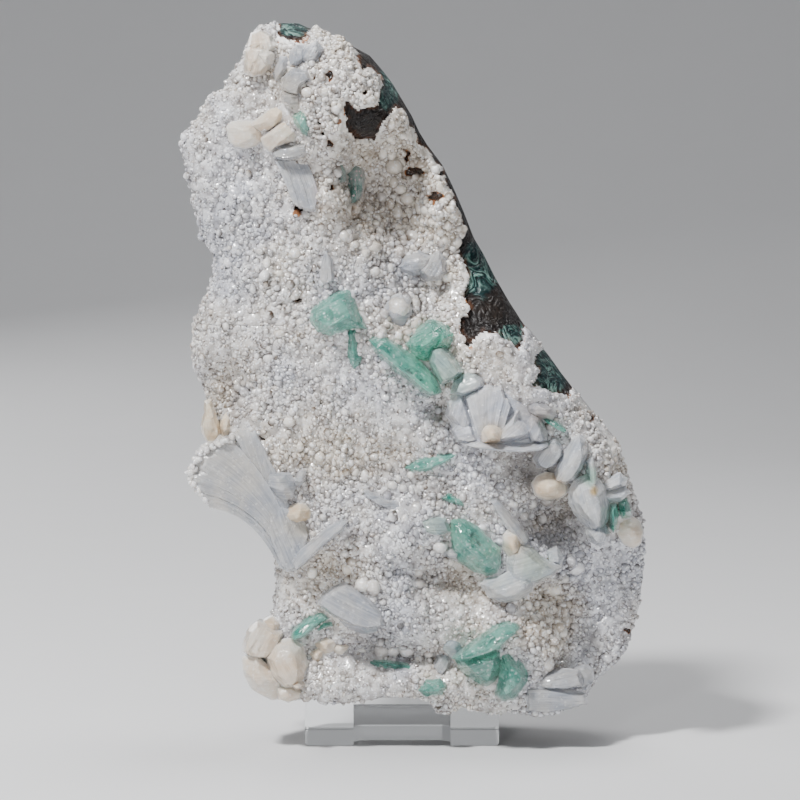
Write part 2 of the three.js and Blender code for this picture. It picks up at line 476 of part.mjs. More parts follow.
// The face as a solid that reaches back to a plane. Bumps roughen it, a set-back moves it behind the deepest
// point of each cell, an inset draws it in from the silhouette, and a border carries it on as a flat rim.
function faceSolid({ cells, bumps = 0, setBack = 0, inset = 0, border = 0, behind }) {
  const reach = 12; // the inset fades out over this distance
  const rim = border ? 1 : 0;
  const [across, up] = [cells.across + 2 * rim, cells.up + 2 * rim];
  const outside = (k, last) => {
    if (!border) return 0;
    return Number(k === last) - Number(k === 0);
  };
  const shareOf = (i, j) => [clamp01((i - rim) / cells.across), clamp01((j - rim) / cells.up)];
  const depthAt = (i, j) => {
    if (!setBack) return faceY(...facePlace(...shareOf(i, j)));
    const near = [-0.45, 0, 0.45];
    const steps = near.flatMap((di) => near.map((dj) => [i + di, j + dj]));
    return Math.max(...steps.map(([a, b]) => faceY(...facePlace(...shareOf(a, b)))));
  };
  const place = (i, j) => {
    const [x, z] = facePlace(...shareOf(i, j));
    const right = clamp01(1 - (x - leftAt(z)) / reach) - clamp01(1 - (rightAt(z) - x) / reach);
    const rise = clamp01(1 - (z - along(FOOT_EDGE, x)) / reach) - clamp01(1 - (ROCK_TOP - z) / reach);
    return {
      y: depthAt(i, j) + setBack,
      x: x + inset * right + border * outside(i, across),
      z: z + inset * rise + border * outside(j, up),
    };
  };
  const front = (i, j) => {
    const inner = i > 0 && i < across && j > 0 && j < up;
    const { x, y, z } = place(i, j);
    return [x, inner ? y - bumps * roughValue(i, j) : y, z];
  };
  const back = (i, j) => {
    const { x, z } = place(i, j);
    return [x, behind, z];
  };
  return sheetSolid(front, back, across, up);
}

// An outline moved outwards, or inwards where the distance is negative.
function grown(outline, by) {
  const edges = outline.map(([x, z], i) => {
    const [nx, nz] = outline[(i + 1) % outline.length];
    const length = Math.hypot(nx - x, nz - z);
    return [(nz - z) / length, (x - nx) / length];
  });
  const area = outline.reduce((sum, [x, z], i) => {
    const [nx, nz] = outline[(i + 1) % outline.length];
    return sum + (x * nz - nx * z) / 2;
  }, 0);
  return outline.map(([x, z], i) => {
    const [ax, az] = edges[(i + outline.length - 1) % outline.length];
    const [bx, bz] = edges[i];
    const step = (Math.sign(area) * by) / Math.max(0.5, 1 + ax * bx + az * bz);
    return [x + step * (ax + bx), z + step * (az + bz)];
  });
}

// The bare patches as prisms that pass through the face.
function bareSolid(by) {
  const behind = 0;
  const prisms = BARE_ROCK.map((outline) => {
    const shape = new THREE.Shape(grown(outline, by).map(([x, z]) => new THREE.Vector2(x, z)));
    const g = new THREE.ExtrudeGeometry(shape, { depth: behind - BEFORE_ALL, bevelEnabled: false });
    return toSolid(g.rotateX(Math.PI / 2).translate(0, behind, 0));
  });
  return joined(prisms);
}

// The rock's own outer form: rings at rising heights, flat towards the face and bulging behind.
function rockBlank() {
  const foot = 8;
  const belly = 0.35; // the share of the height where the back bulges most
  const { round, up } = ROCK_CELLS;
  const points = [];
  const triangles = [];
  for (let j = 0; j <= up; j++) {
    const z = mix(foot, ROCK_TOP, j / up);
    const [left, right] = [leftAt(z) + ROCK_INSET, rightAt(z) - ROCK_INSET];
    const height = (z - foot) / (ROCK_TOP - foot) - belly;
    const thickness = height < 0 ? 1 - 0.2 * (height / belly) ** 2 : Math.sqrt(1 - (height / 0.66) ** 3);
    for (let i = 0; i < round; i++) {
      const turn = (2 * Math.PI * i) / round;
      const u = 0.5 - 0.5 * Math.cos(turn) * (1 - 0.12 * Math.sin(turn) ** 2);
      const x = mix(left, right, u);
      const rimY = mix(ROUNDING.left.y, ROUNDING.right.y, u);
      const bulge = (1 - Math.abs(2 * u - 1) ** 2.6) ** (1 / 2.2);
      const rough = ROUGHNESS.rock * roughValue(i + 40, j + 70) * bulge;
      const behind = Math.sin(turn) > -1e-9;
      const backY = rimY + BACK_BULGE * bulge * thickness + rough;
      points.push([x, behind ? backY : Math.min(rimY, faceY(x, z) - 1), z]);
    }
  }
  const id = (i, j) => j * round + (i % round);
  for (let j = 0; j < up; j++) {
    for (let i = 0; i < round; i++) {
      triangles.push([id(i, j), id(i, j + 1), id(i + 1, j + 1)], [id(i, j), id(i + 1, j + 1), id(i + 1, j)]);
    }
  }
  for (let i = 1; i < round - 1; i++) {
    triangles.push([id(0, 0), id(i, 0), id(i + 1, 0)], [id(0, up), id(i + 1, up), id(i, up)]);
  }
  return toSolid(geometryOf(points, triangles));
}

const middleOf = (outline) => [0, 1].map((k) => outline.reduce((sum, p) => sum + p[k], 0) / outline.length);

// One crystal: its outline is its girdle, with a smaller flat front and a smaller root in the crust.
function crystalSolid([rise, sink, flat, leanX, leanZ, outline, seat]) {
  const girdle = 0.45;
  const root = 0.75;
  const [cx, cz] = middleOf(outline);
  const y0 = faceY(...(seat ?? [cx, cz]));
  const layers = [
    [flat, y0 - rise],
    [1, y0 - rise * girdle],
    [root, y0 + sink],
  ];
  const points = layers.flatMap(([share, y]) =>
    outline.map(([x, z]) => {
      const [dx, dz] = [(x - cx) * share, (z - cz) * share];
      return new THREE.Vector3(cx + dx, y + leanX * dx + leanZ * dz, cz + dz);
    }),
  );
  return toSolid(new ConvexGeometry(points));
}

// The room a crystal takes in the crust: a straight prism round its outline, open to the front.
function pocketSolid([, sink, , leanX, leanZ, outline, seat]) {
  const [cx, cz] = middleOf(outline);
  const y0 = faceY(...(seat ?? [cx, cz]));
  const shape = grown(outline, GAP);
  const points = [BEFORE_ALL, y0 + sink + GAP].flatMap((y) =>
    shape.map(([x, z]) => new THREE.Vector3(x, y + leanX * (x - cx) + leanZ * (z - cz), z)),
  );
  return toSolid(new ConvexGeometry(points));
}

const joined = (solids) => solids.reduce((a, b) => a.add(b));

// Clear stand: a plate with a riser at each end and a recess in its front edge, all one piece.
function standSolid() {
  const { width, depth, plate, height, riser, corner, recess, lip } = STAND;
  const front = -depth / 2;
  const half = width / 2;
  const inner = half - riser;
  const profile = new THREE.Shape();
  profile.moveTo(-half + corner, 0);
  profile.lineTo(half - corner, 0);
  profile.quadraticCurveTo(half, 0, half, corner);
  profile.lineTo(half, height);
  profile.lineTo(inner, height);
  profile.lineTo(inner, plate);
  profile.lineTo(-inner, plate);
  profile.lineTo(-inner, height);
  profile.lineTo(-half, height);
  profile.lineTo(-half, corner);
  profile.quadraticCurveTo(-half, 0, -half + corner, 0);
  const body = new THREE.ExtrudeGeometry(profile, { depth, bevelEnabled: false, curveSegments: 4 });
  body.rotateX(Math.PI / 2).translate(0, -front, 0);
  const bay = new THREE.Shape();
  bay.moveTo(-inner, -1);
  bay.lineTo(inner, -1);
  bay.lineTo(inner, recess - 2);
  bay.lineTo(inner - 2, recess);
  bay.lineTo(-inner + 2, recess);
  bay.lineTo(-inner, recess - 2);
  const bayCut = new THREE.ExtrudeGeometry(bay, { depth: plate + 2, bevelEnabled: false });
  bayCut.translate(0, front, -1);
  const lipCut = new THREE.BoxGeometry(width + 2, 2 * lip, height).translate(0, front, plate + height / 2);
  return toSolid(body).subtract(toSolid(bayCut)).subtract(toSolid(lipCut));
}

function named(name, geometry, finish) {
  const mesh = new THREE.Mesh(geometry, new THREE.MeshStandardMaterial(finish));
  mesh.name = name;
  return mesh;
}

const specimen = new THREE.Group();
const pockets = [];
for (const [name, crystals] of Object.entries(CRYSTALS)) {
  const solid = joined(crystals.map(crystalSolid));
  pockets.push(joined(crystals.map(pocketSolid)));
  specimen.add(named(name, toGeometry(solid), FINISH[name.split("_")[0]]));
}
const allPockets = joined(pockets);

const bed = (gap) =>
  faceSolid({ cells: BED_CELLS, setBack: CRUST + gap, inset: CRUST_RIM + gap, ...BED_REACH });
const bareFace = faceSolid({ cells: FACE_CELLS, setBack: BARE_STEP, behind: 0 });
const floorBlock = new THREE.BoxGeometry(FLOOR_CUT.side, FLOOR_CUT.side, FLOOR_CUT.height);
const belowRock = toSolid(floorBlock.translate(0, 0, ROCK_FOOT - FLOOR_CUT.height / 2));
const form = rockBlank();
const bareRock = form.intersect(bareFace).intersect(bareSolid(-GAP / 2));
const rock = largest(form.intersect(bed(GAP)).add(bareRock).subtract(belowRock).subtract(allPockets));
const standRoom = new THREE.BoxGeometry(STAND.width + 2 * GAP, STAND_ROOM, STAND_ROOM);
standRoom.translate(0, STAND_ROOM / 2 - STAND.depth / 2 - GAP, ROCK_FOOT - STAND_ROOM / 2);
const crustForm = faceSolid({ cells: FACE_CELLS, bumps: ROUGHNESS.crust, behind: CRUST_BACK });
const cuts = [bed(0), bareSolid(GAP / 2), allPockets, toSolid(standRoom)];
const crust = largest(cuts.reduce((left, cut) => left.subtract(cut), crustForm));
specimen.add(named("basalt_matrix", toGeometry(rock), FINISH.rock));
specimen.add(named("white_crust", toGeometry(crust), FINISH.crust));
specimen.add(named("acrylic_stand", toGeometry(standSolid()), FINISH.acrylic));

export default specimen;
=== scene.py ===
"""Green apophyllite with heulandite: the finished surfaces of the specimen and of its clear stand.

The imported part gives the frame. This file is laid out as an add-on with one operator for each group of
pieces: the rock, the beaded crust, the green blades, the white and cream crystals, the stand, and the stage.
Lengths in the tables are millimetres, with X to the right across the crystal face, -Y towards the viewer and
+Z up.
"""

import math

import bpy
import numpy as np
from bpy.props import FloatProperty, FloatVectorProperty, IntProperty, PointerProperty
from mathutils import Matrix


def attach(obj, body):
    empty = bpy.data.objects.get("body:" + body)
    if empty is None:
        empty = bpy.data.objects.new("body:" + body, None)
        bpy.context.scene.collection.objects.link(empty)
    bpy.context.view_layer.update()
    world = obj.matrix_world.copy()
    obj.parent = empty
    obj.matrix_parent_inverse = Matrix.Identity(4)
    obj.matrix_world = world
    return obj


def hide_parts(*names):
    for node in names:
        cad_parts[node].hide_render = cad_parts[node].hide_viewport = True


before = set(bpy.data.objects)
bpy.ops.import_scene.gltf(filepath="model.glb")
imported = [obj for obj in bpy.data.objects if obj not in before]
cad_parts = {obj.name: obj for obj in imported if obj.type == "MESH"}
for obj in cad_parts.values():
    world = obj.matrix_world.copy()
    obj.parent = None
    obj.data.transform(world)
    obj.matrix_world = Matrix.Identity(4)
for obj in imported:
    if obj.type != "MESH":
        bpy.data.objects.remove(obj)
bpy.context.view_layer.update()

bl_info = {
    "name": "Apophyllite specimen",
    "version": (1, 0, 0),
    "blender": (4, 5, 0),
    "location": "View3D > Sidebar > Specimen",
    "description": "Builds the surfaces of a green apophyllite and heulandite specimen on its clear stand",
    "category": "Object",
}

MM = 0.001
SEED = 5904

# How far the face stands in front of Y = 0, the crust's thickness, and how far a bare patch lies behind it
FACE = 23.0
CRUST = 3.0
BARE_STEP = 1.2
# For each side, Y of the silhouette and how wide the face rounds back to it
ROUNDING = {"left": (-10.0, 7.0), "right": (-5.0, 9.0), "top": (-7.0, 9.0), "foot": (-24.0, 5.0)}
SILHOUETTE_SLOPE = 0.8
# Heights of the rock's top and foot, how far it is inside the silhouette, and how far its back bulges
ROCK_TOP = 181.6
ROCK_FOOT = 12.3
ROCK_INSET = 0.6
BACK_BULGE = 23.0
# Where the back's rounding starts, and the share of the height at which the rock is thickest
BACK_FOOT = 8.0
THICKEST = 0.35
# Middle of the face, from which the crust is drawn in, and how many cells of the front one cell of its back
# takes
MIDDLE = (2.0, 95.0)
BACK_STEP = 4

# Silhouette, as (x, z) from the foot up
LEFT_EDGE = [
    (-27.5, 12.5), (-34.5, 18), (-34.5, 28), (-32.5, 34.2), (-32, 40.5), (-32.2, 48), (-34.5, 58),
    (-38.8, 68), (-44.5, 78), (-49, 86.8), (-51, 91.8), (-52.5, 95.5), (-53.2, 100), (-52.2, 106.8),
    (-50.2, 112.5), (-47.8, 117), (-47.2, 120.5), (-47.5, 124), (-50.5, 128.5), (-51, 132.5), (-52.5, 138),
    (-54, 143.5), (-54.8, 148.5), (-56, 151.2), (-55, 153.8), (-51.5, 158), (-50, 160.8), (-48.5, 163.5),
    (-45, 165.5), (-43.5, 168.5), (-40, 173), (-38.8, 176.2), (-36.8, 179.8), (-34.5, 181.2),
]
RIGHT_EDGE = [
    (47.2, 10.5), (50, 16), (55.5, 20), (57.5, 23), (59, 26.8), (60, 31), (61, 35.5), (61.5, 40.5),
    (61.5, 54.2), (60.8, 58), (59.2, 62.2), (57.5, 66.8), (56.2, 71.8), (55, 76), (53, 78.5), (50.5, 81.2),
    (45.5, 87.5), (41.2, 93), (38, 97.5), (35, 101.2), (31.2, 106), (27.5, 111.8), (24.2, 117.5),
    (21.2, 123.5), (18.8, 127.5), (16.2, 134.2), (13.8, 139.8), (10.8, 146), (7, 151), (5, 154.2),
    (3, 158.5), (0, 163.5), (-2, 166.8), (-4.5, 170), (-7.5, 173.5), (-11.2, 175.5), (-13.8, 176.8),
    (-20.5, 179.5), (-25.5, 181.5),
]
FOOT_EDGE = [
    (-27.5, 12.5), (-21, 12), (-17.5, 10.8), (-13.8, 11.2), (-7.5, 12), (-3.8, 12.8), (3, 12.8), (6.2, 12.2),
    (8, 10), (10, 8.5), (12.5, 8.2), (14.5, 10.2), (17.5, 9.2), (22.5, 8), (28.8, 8.8), (32.5, 8),
    (36.2, 7.8), (40, 8.5), (42.5, 9.8), (47.2, 10.5),
]
TOP_EDGE = [(-34.5, 181.2), (-31.2, 182.5), (-28.8, 182.3), (-25.5, 181.5)]

# Swellings and hollows of the face: x, z, half width, half height, turn in degrees, rise, flatness
RELIEF = [
    (-13, 162, 19, 15, 15, 10, 2), (-3, 142, 12, 14, 20, -14, 2), (5, 121, 12, 14, 20, -9, 1.5),
    (10, 140, 4.5, 10, 25, 8, 1), (-17.5, 138, 4, 5, 0, 6, 1), (-44, 91, 9, 8, 0, -7, 1.5),
    (-25, 102, 28, 36, 0, 4, 1.5), (-5, 52, 20, 13, 10, 5, 1.5), (12, 41, 15, 4, -20, -6, 1),
    (9, 34, 22, 7, -8, 4, 1.5), (38, 57, 8, 8, 0, -13, 1.5), (31, 71, 6, 4, 0, -8, 1),
    (50, 36, 14, 19, 0, -12, 2), (31, 29, 9, 13, 15, 5, 1.5), (36, 38, 4, 4, 0, -6, 1),
    (40, 22, 3, 2.5, 0, -5, 1), (-1, 23, 14, 3, -8, -7, 1), (-5, 16, 30, 5, 0, 4, 1.5),
    (25, 97, 13, 8, -35, 4, 1.5), (9, 86, 3, 5, 0, -4, 1), (-17, 46, 5, 3.5, 0, -4, 1),
]

# Small pits that show rust or dark rock: x, z, half width, half height, turn in degrees, and where a pit
# starts as a share of its size
PIT_RIM = 1.7
PITS = [
    (-20.2, 157, 0.6, 0.6, 0), (-19.2, 154.5, 0.6, 0.6, 0), (-18, 151.8, 0.8, 0.8, 0),
    (-17.5, 140.8, 0.8, 0.9, 0), (-25.2, 135.8, 1.6, 1.2, 0), (-43.8, 135.5, 1, 0.6, 0),
    (-51.2, 135.2, 0.5, 0.6, 0), (3.2, 144.5, 2.2, 1.2, 0), (1.2, 148.2, 0.7, 1.4, 0),
    (8.5, 138.5, 1.8, 1, 0), (-17.8, 168.8, 1, 1.2, 0), (-21.5, 167.8, 0.6, 0.6, 0),
    (-9.5, 164, 0.6, 0.6, 0), (-17, 160, 0.6, 1.4, 30), (-49.8, 114.2, 0.9, 0.9, 0),
    (-25.8, 113.2, 1, 0.5, 20), (10.2, 144.5, 1.2, 0.5, 40), (-35.5, 78.8, 1.6, 0.6, -35),
    (47.5, 82.5, 0.7, 0.6, 0), (57.2, 28, 0.6, 0.9, 0),
]

# Where the crust has broken away from the rock, as (x, z) outlines
BARE_ROCK = [
    [(5.2, 151.6), (8.4, 152.6), (13.6, 145), (19, 131), (15.4, 130.4), (12.6, 138.4), (9.6, 144.8)],
    [(-31, 183), (-31, 179), (-28, 176.8), (-24.5, 177.5), (-22.8, 180), (-24, 183)],
    [
        (-12, 176.5), (-10.6, 172.5), (-10, 170), (-7, 170.4), (-5.2, 167), (-5.4, 162), (-11, 160.6),
        (-13.8, 162.5), (-14.2, 157), (-12, 153.6), (-7, 153), (-5, 157), (-1.5, 160.4), (0.5, 160),
        (1.8, 156.8),
        (3.5, 153), (5, 150.8), (8, 150.5), (12, 153), (4, 172), (-6, 178),
    ],
    [
        (17, 131.5), (14.2, 128), (14.2, 125.5), (15.4, 121.8), (16.4, 118.5), (16, 113.5), (17, 111),
        (14.8, 107.5), (14.6, 104.6), (16.5, 101.6), (19.5, 104.4), (22.8, 105), (26.2, 103), (29, 100.4),
        (31, 105), (34, 106), (26, 122), (20, 130),
    ],
    [
        (34.8, 100.2), (32.8, 97.2), (34, 94.8), (32.8, 92.2), (36, 90.4), (40, 88.8), (41.8, 87.4), (43, 90),
        (46, 90), (40, 99),
    ],
]

# Teal mineral skins on the bare rock: x, z, half width, half height
TEAL = [(-27, 180.5, 4, 2), (-4, 165.5, 4.5, 6), (19, 119, 5, 8), (27, 104, 4, 3), (36, 94, 7, 7)]

# The crust's outer edge as a share of the silhouette, so that its beads reach the silhouette
EDGE_SHARE = 0.992
# Width and height of the crust
CRUST_WIDE = 98
CRUST_TALL = 176
# Grains of the crust's ground: cell, rise, seed, and the share of a full rise that the lowest of them has
GRAINS = ((1.0, 0.5, 91, 0.55), (1.7, 0.95, 94, 0.1), (2.9, 1.3, 97, -0.6))
# Beads on the ground: name, spacing, radius, points round, rings and share of places used
BEADS = (
    ("fine_beads", 1.3, 0.47, 6, 2, 0.6), ("round_beads", 1.9, 0.7, 8, 3, 0.55),
    ("large_beads", 3.0, 1.05, 10, 4, 0.12),
)
ROW_SPACING = 0.87
# How deep a bead is sunk as a share of its radius, how far crystals keep beads away inside their outlines,
# the triangles a piece of beads may have, and the tone at the foot of the pearls, which paints shade there
BEAD_SINK = 0.3
CRYSTAL_MARGIN = 0.8
PIECE_TRIANGLES = 190000
PEARL_FOOT_SHADE = 0.4
PEARL_SIDES = 18
PEARL_RINGS = 7
# Bands of the crust's ground as shares of its height, with the columns of each
BANDS = ((0.0, 0.56, 1.0), (0.56, 1.0, 0.72))
# Zones of the crust: x, z, reach and what is added there
ZONES_OF_WARMTH = (
    (36, 34, 9, 0.8), (22, 30, 12, 0.3), (-30, 90, 8, -0.3), (-8, 155, 20, 0.3), (5, 130, 20, 0.25),
    (-18, 78, 13, 0.45), (50, 38, 17, -0.6), (-40, 130, 16, -0.35), (20, 62, 14, -0.2), (37, 32, 10, 0.5),
    (-22, 45, 12, 0.2), (0, 85, 10, -0.35), (27, 96, 9, 0.4), (-5, 20, 14, -0.3),
)
ZONES_OF_SIZE = (
    (2, 130, 13, 0.5), (-2, 106, 8, 0.5), (38, 30, 7, 0.7), (42, 44, 5, 0.6), (38, 57, 7, 0.25),
    (0, 86, 8, -0.35), (51, 38, 9, -0.3), (-36, 92, 8, 0.3), (-5, 20, 9, -0.25), (27, 97, 7, -0.3),
)

# Crystals of each node. A row gives the form, rise over the crust, depth below it, direction of the grain
# in degrees, lean along x and z, outline as (x, z), and the point it is seated on where that isn't its
# middle. A fan has its number of ribs in place of the grain, and its base, middle and rim lines in place of
# an outline.
CRYSTALS = {
    "apophyllite_upper_left": [
        ("gem", 6.5, 2, 27, 0.1, 0.25, [(-22.5, 110.8), (-20, 113.2), (-17.2, 115.2), (-14.5, 116),
         (-13, 116.2), (-11.5, 112.8), (-10, 109.2), (-8.5, 106), (-12.5, 106.2), (-15, 105.2), (-18, 104.5),
         (-21, 105.5), (-22.8, 107.8)]),
        ("gem", 6.8, 2, 70, -0.15, 0.1, [(-13, 115.9), (-12, 113), (-10.2, 109.2), (-8.6, 106.1),
         (-11.5, 106.2), (-13.6, 108.5), (-14.2, 112.5)]),
    ],
    "apophyllite_small_blade": [
        ("gem", 3.6, 2, 95, 0, 0.05, [(-14, 105.8), (-12.5, 106.5), (-11, 106.2), (-10.2, 102.8),
         (-9.8, 98.8), (-10.5, 96.8), (-11.8, 95.5), (-13, 97), (-14, 100.2), (-14.2, 103.2)]),
    ],
    "apophyllite_centre_blade": [
        ("blade", 7.5, 2, -38, 0.05, 0.15, [(-8.8, 102.8), (-8, 104.2), (-5.5, 104.5), (-3.5, 104.2),
         (-1, 102.5), (2, 100), (5, 97.5), (7.5, 94.8), (9.5, 91.8), (10.2, 90.2), (8.5, 89.2), (7, 89),
         (4.5, 90.2), (1.5, 92.8), (-2, 95.2), (-5, 97.8), (-7.5, 100.5)]),
    ],
    "apophyllite_upper_right": [
        ("gem", 8.5, 2, 25, 0.05, 0.2, [(0.2, 102), (2, 104.2), (4.5, 106.5), (6.5, 108), (8, 108),
         (10.5, 107.2), (12, 106), (13, 103.8), (13.2, 102.5), (10, 99.5), (6, 97.8), (3, 98.6)]),
        ("gem", 9.4, 2, 80, -0.2, 0.1, [(5.5, 98), (8, 98.8), (11.8, 101.4), (12.8, 104.4), (10.6, 106.6),
         (8, 105), (6, 101.6)]),
    ],
    "apophyllite_lower_centre": [
        ("gem", 8, 2, -42, 0.05, -0.15, [(12, 58), (14, 58.5), (16, 58.2), (19, 56.5), (22, 53.5),
         (24.5, 51), (24.8, 47.2), (23.8, 44.5), (21.5, 43.8), (18.2, 44.8), (14, 47.2), (12.2, 50.8),
         (12, 54.8)]),
    ],
    "apophyllite_foot_cluster": [
        ("blade", 9, 2, 34, 0.15, 0.1, [(12, 24), (15, 26.5), (17, 28), (20.5, 30.5), (23.8, 32.8),
         (26, 33.5), (29, 33.2), (30, 31.8), (28.5, 29.8), (26, 27.5), (24.5, 25.8), (21.5, 24.8),
         (17, 23.8)]),
        ("gem", 8.4, 2, 20, 0, -0.1, [(13.2, 23.2), (16, 25.2), (19.5, 26.2), (23.5, 26.8), (25.8, 25.8),
         (25.8, 21.5), (24, 16.8), (21.5, 15), (19, 16), (16, 18.5), (14, 20.8)]),
        ("gem", 7.5, 2, -60, 0.2, -0.1, [(25, 24.2), (27, 25), (28.5, 24.2), (30.5, 22.5), (32.2, 19.8),
         (32, 17.5), (30, 14.8), (28, 12.8), (25.2, 12.5), (23, 14.2), (24, 17.8), (24.5, 21.8)]),
    ],
    "apophyllite_thin_blade": [
        ("blade", 3.4, 2, 10, 0, 0.3, [(0, 71), (4, 73.5), (9.5, 74.5), (14.2, 74.5), (11, 72.2), (7, 70.2),
         (4.5, 69.8)]),
    ],
    "apophyllite_small_chip": [
        ("gem", 2.4, 2, -28, 0, 0.2, [(9, 63.2), (11.5, 65), (14.5, 63.5), (17, 60.2), (12.5, 62)]),
    ],
    "apophyllite_left_foot": [
        ("blade", 4.6, 2, 38, 0.1, 0.2, [(-28, 28.2), (-27.5, 30.2), (-25.5, 32.2), (-23, 33.8),
         (-20.5, 34.8), (-18.5, 33.8), (-18, 32.8), (-20, 31.8), (-22, 30.2), (-24.2, 28.2), (-27, 27.5)]),
        ("gem", 3.6, 2, 30, 0.1, 0, [(-21.5, 30.2), (-19.5, 32), (-17.5, 32), (-17.2, 31), (-19.5, 30.5),
         (-21, 29.8)]),
    ],
    "apophyllite_right_edge": [
        ("gem", 7, 2, -60, 0.1, 0, [(54.5, 62), (56.5, 63), (57.8, 59.8), (57.2, 58), (55, 57.5),
         (53.8, 59.8)]),
        ("blade", 7.5, 2, -82, 0.2, 0, [(52, 61.8), (53.8, 61.8), (54.5, 58.8), (54, 55.8), (52.8, 54.2),
         (51.8, 55.8), (51.8, 58.8)]),
    ],
    "apophyllite_shoulder_chip": [
        ("blade", 5, 2, -30, 0, 0.2, [(34.5, 83.8), (36.2, 84), (38.5, 83), (41, 81), (41.2, 79.6),
         (38.5, 80.4), (36, 82)]),
    ],
    "apophyllite_vug": [
        ("gem", 10, 2, 95, 0.1, 0.1, [(-14.6, 145.2), (-12, 147.2), (-10, 146), (-9, 143), (-10, 138.5),
         (-11.5, 135.2), (-13.6, 134.2), (-15, 136), (-14.2, 141)]),
        ("gem", 8, 2, 110, 0, 0, [(-16.2, 147.2), (-15, 148), (-14, 145.2), (-13.6, 141.8), (-16, 142)]),
    ],
    "apophyllite_top_chip": [
        ("gem", 3, 2, 80, 0, 0, [(-27, 158.6), (-25, 160.6), (-23, 159), (-22.4, 156), (-23.6, 153.6),
         (-26, 156)]),
    ],
    "apophyllite_foot_sliver": [
        ("blade", 3, 2, -6, 0, 0.2, [(-9.5, 22), (-4.5, 22.2), (1, 21.4), (4.2, 20), (-1.2, 19),
         (-7, 20.2)]),
    ],
    "apophyllite_foot_wedge": [
        ("gem", 4.5, 2, 20, 0, 0.1, [(3.2, 15.5), (6, 18), (9.5, 18.4), (11.4, 16.4), (9.8, 14.2),
         (6, 13.8)]),
    ],
    "heulandite_pale_wedge": [
        ("plate", 9, 2, -45, 0.25, 0.1, [(6.8, 101.2), (8.5, 102), (10.2, 102), (12.2, 100.2), (14.5, 97.2),
         (16, 95.2), (13.5, 93.2), (11.5, 92.5), (9.5, 91.8), (8, 94.8), (6.5, 97.8)]),
    ],
    "heulandite_foot_chip": [
        ("plate", 5, 2, 60, 0.1, 0, [(7.2, 20.8), (9, 23.6), (11, 24.5), (12.6, 22.2), (12.4, 20.2),
         (10.5, 17.8), (8.2, 18.6)]),
    ],
    "heulandite_large_sheaf": [
        ("fan", 6.5, 4, 13, 0.12, 0.05, ([(-30.75, 46), (-28.5, 45), (-26, 45.25)], [(-38.5, 56.75),
         (-36.5, 59.75), (-34, 62), (-31.25, 64.25)], [(-47.5, 60.5), (-49.75, 63.5), (-53, 67),
         (-53.5, 69.75), (-52, 74.25), (-49.5, 76.75), (-46.5, 78), (-42, 79.25)]), (-29, 52)),
        ("fan", 5.4, 4, 7, 0.1, 0.05, ([(-29.5, 51.25), (-27.5, 50.5), (-25, 52.25)], [(-35.5, 66.25),
         (-33.5, 67.75), (-29.75, 67.25)], [(-42.5, 79.25), (-39.75, 81.25), (-36.75, 81), (-34.5, 77),
         (-32.5, 71.25)]), (-29, 56)),
        ("plate", 6.4, 6, 112, 0, 0.05, [(-33, 50.75), (-34.5, 55.75), (-34, 60.75), (-31, 62.75),
         (-27, 61.75), (-23.25, 58.25), (-22.5, 54.25), (-23.5, 49.75), (-25.25, 46), (-28, 44.5),
         (-30.5, 46)], (-29, 52)),
        ("nugget", 6, 5, 0, 0, 0, [(-33.5, 70.75), (-30.5, 70.25), (-27.75, 70), (-26.25, 67.25),
         (-27.25, 63.75), (-29.5, 62.75), (-32.5, 64.75), (-34.25, 67.75)], (-27, 62)),
    ],
    "heulandite_lower_blade": [
        ("blade", 8, 2, 42, 0, 0, [(-27.5, 47.8), (-25.5, 50.8), (-22.5, 53.5), (-19, 56.5), (-15, 58.8),
         (-13, 58.5), (-14.5, 55.8), (-18, 52.8), (-21, 49.8), (-24, 47.2), (-26.5, 45.8)], (-18, 54)),
    ],
    "heulandite_notch_pair": [
        ("plate", 4.4, 2, 95, 0.1, 0, [(-49.5, 87.5), (-47.75, 88), (-46.75, 85.75), (-46, 82.75),
         (-45, 79.25), (-47, 76.75), (-49, 77), (-50, 79.25), (-50.5, 81.25), (-49.75, 84.25)], (-44, 84)),
        ("nugget", 4.8, 2, 0, 0, 0, [(-45, 83.25), (-44, 84.75), (-43, 83.25), (-42.75, 80.75),
         (-43.5, 78.75), (-45.25, 78.25), (-46, 80.5)], (-44, 84)),
    ],
    "heulandite_cream_block": [
        ("nugget", 5.5, 2, 0, 0, 0, [(-29.5, 59.2), (-28.5, 61.5), (-26, 62.5), (-24, 62.2), (-22.5, 60.2),
         (-22.8, 58.2), (-25, 57), (-28, 57.2)], (-25, 60)),
    ],
    "heulandite_right_sheaf": [
        ("plate", 5, 2, 0, 0, 0.05, [(12, 88.75), (15, 92.25), (19.5, 92.75), (25.75, 91.25), (32, 86.75),
         (35.5, 80.25), (35.5, 76.25), (24.5, 75.75), (15, 76.75), (12, 81.75)]),
        ("plate", 7, 2, 20, 0, 0.1, [(12, 89.75), (13, 93), (15.25, 95), (18.25, 95.5), (20.5, 93.75),
         (21, 91.25), (18, 89.75), (15, 88.75)]),
        ("plate", 7, 2, 75, 0.1, 0.05, [(10.75, 84.25), (11.5, 87.75), (13.25, 90), (15.25, 90.5),
         (17, 87.25), (18.25, 82.75), (17.5, 80), (14, 80.25)]),
        ("fan", 9, 2, 7, 0.05, 0.1, ([(19.5, 77), (21.5, 76.75), (24.5, 77.25)], [(17.25, 83.25),
         (21.5, 84.75), (26, 82.75)], [(15.25, 89.25), (17.25, 90.75), (19.5, 92), (22.25, 92.5), (24.5, 92),
         (26, 89.5), (27.25, 86.5)])),
        ("plate", 9.8, 2, 38, -0.1, 0.1, [(20.5, 76.75), (22, 80.25), (24.25, 83.5), (26.75, 85.75),
         (28.75, 86.75), (30.25, 86), (29.75, 84), (31.25, 83), (32.75, 80.75), (32.75, 78.75), (29.5, 77.5),
         (24.5, 76.5)]),
        ("plate", 8.4, 2, 60, 0.05, 0, [(30.5, 83.5), (32.25, 85), (34.25, 84.25), (36, 81.25),
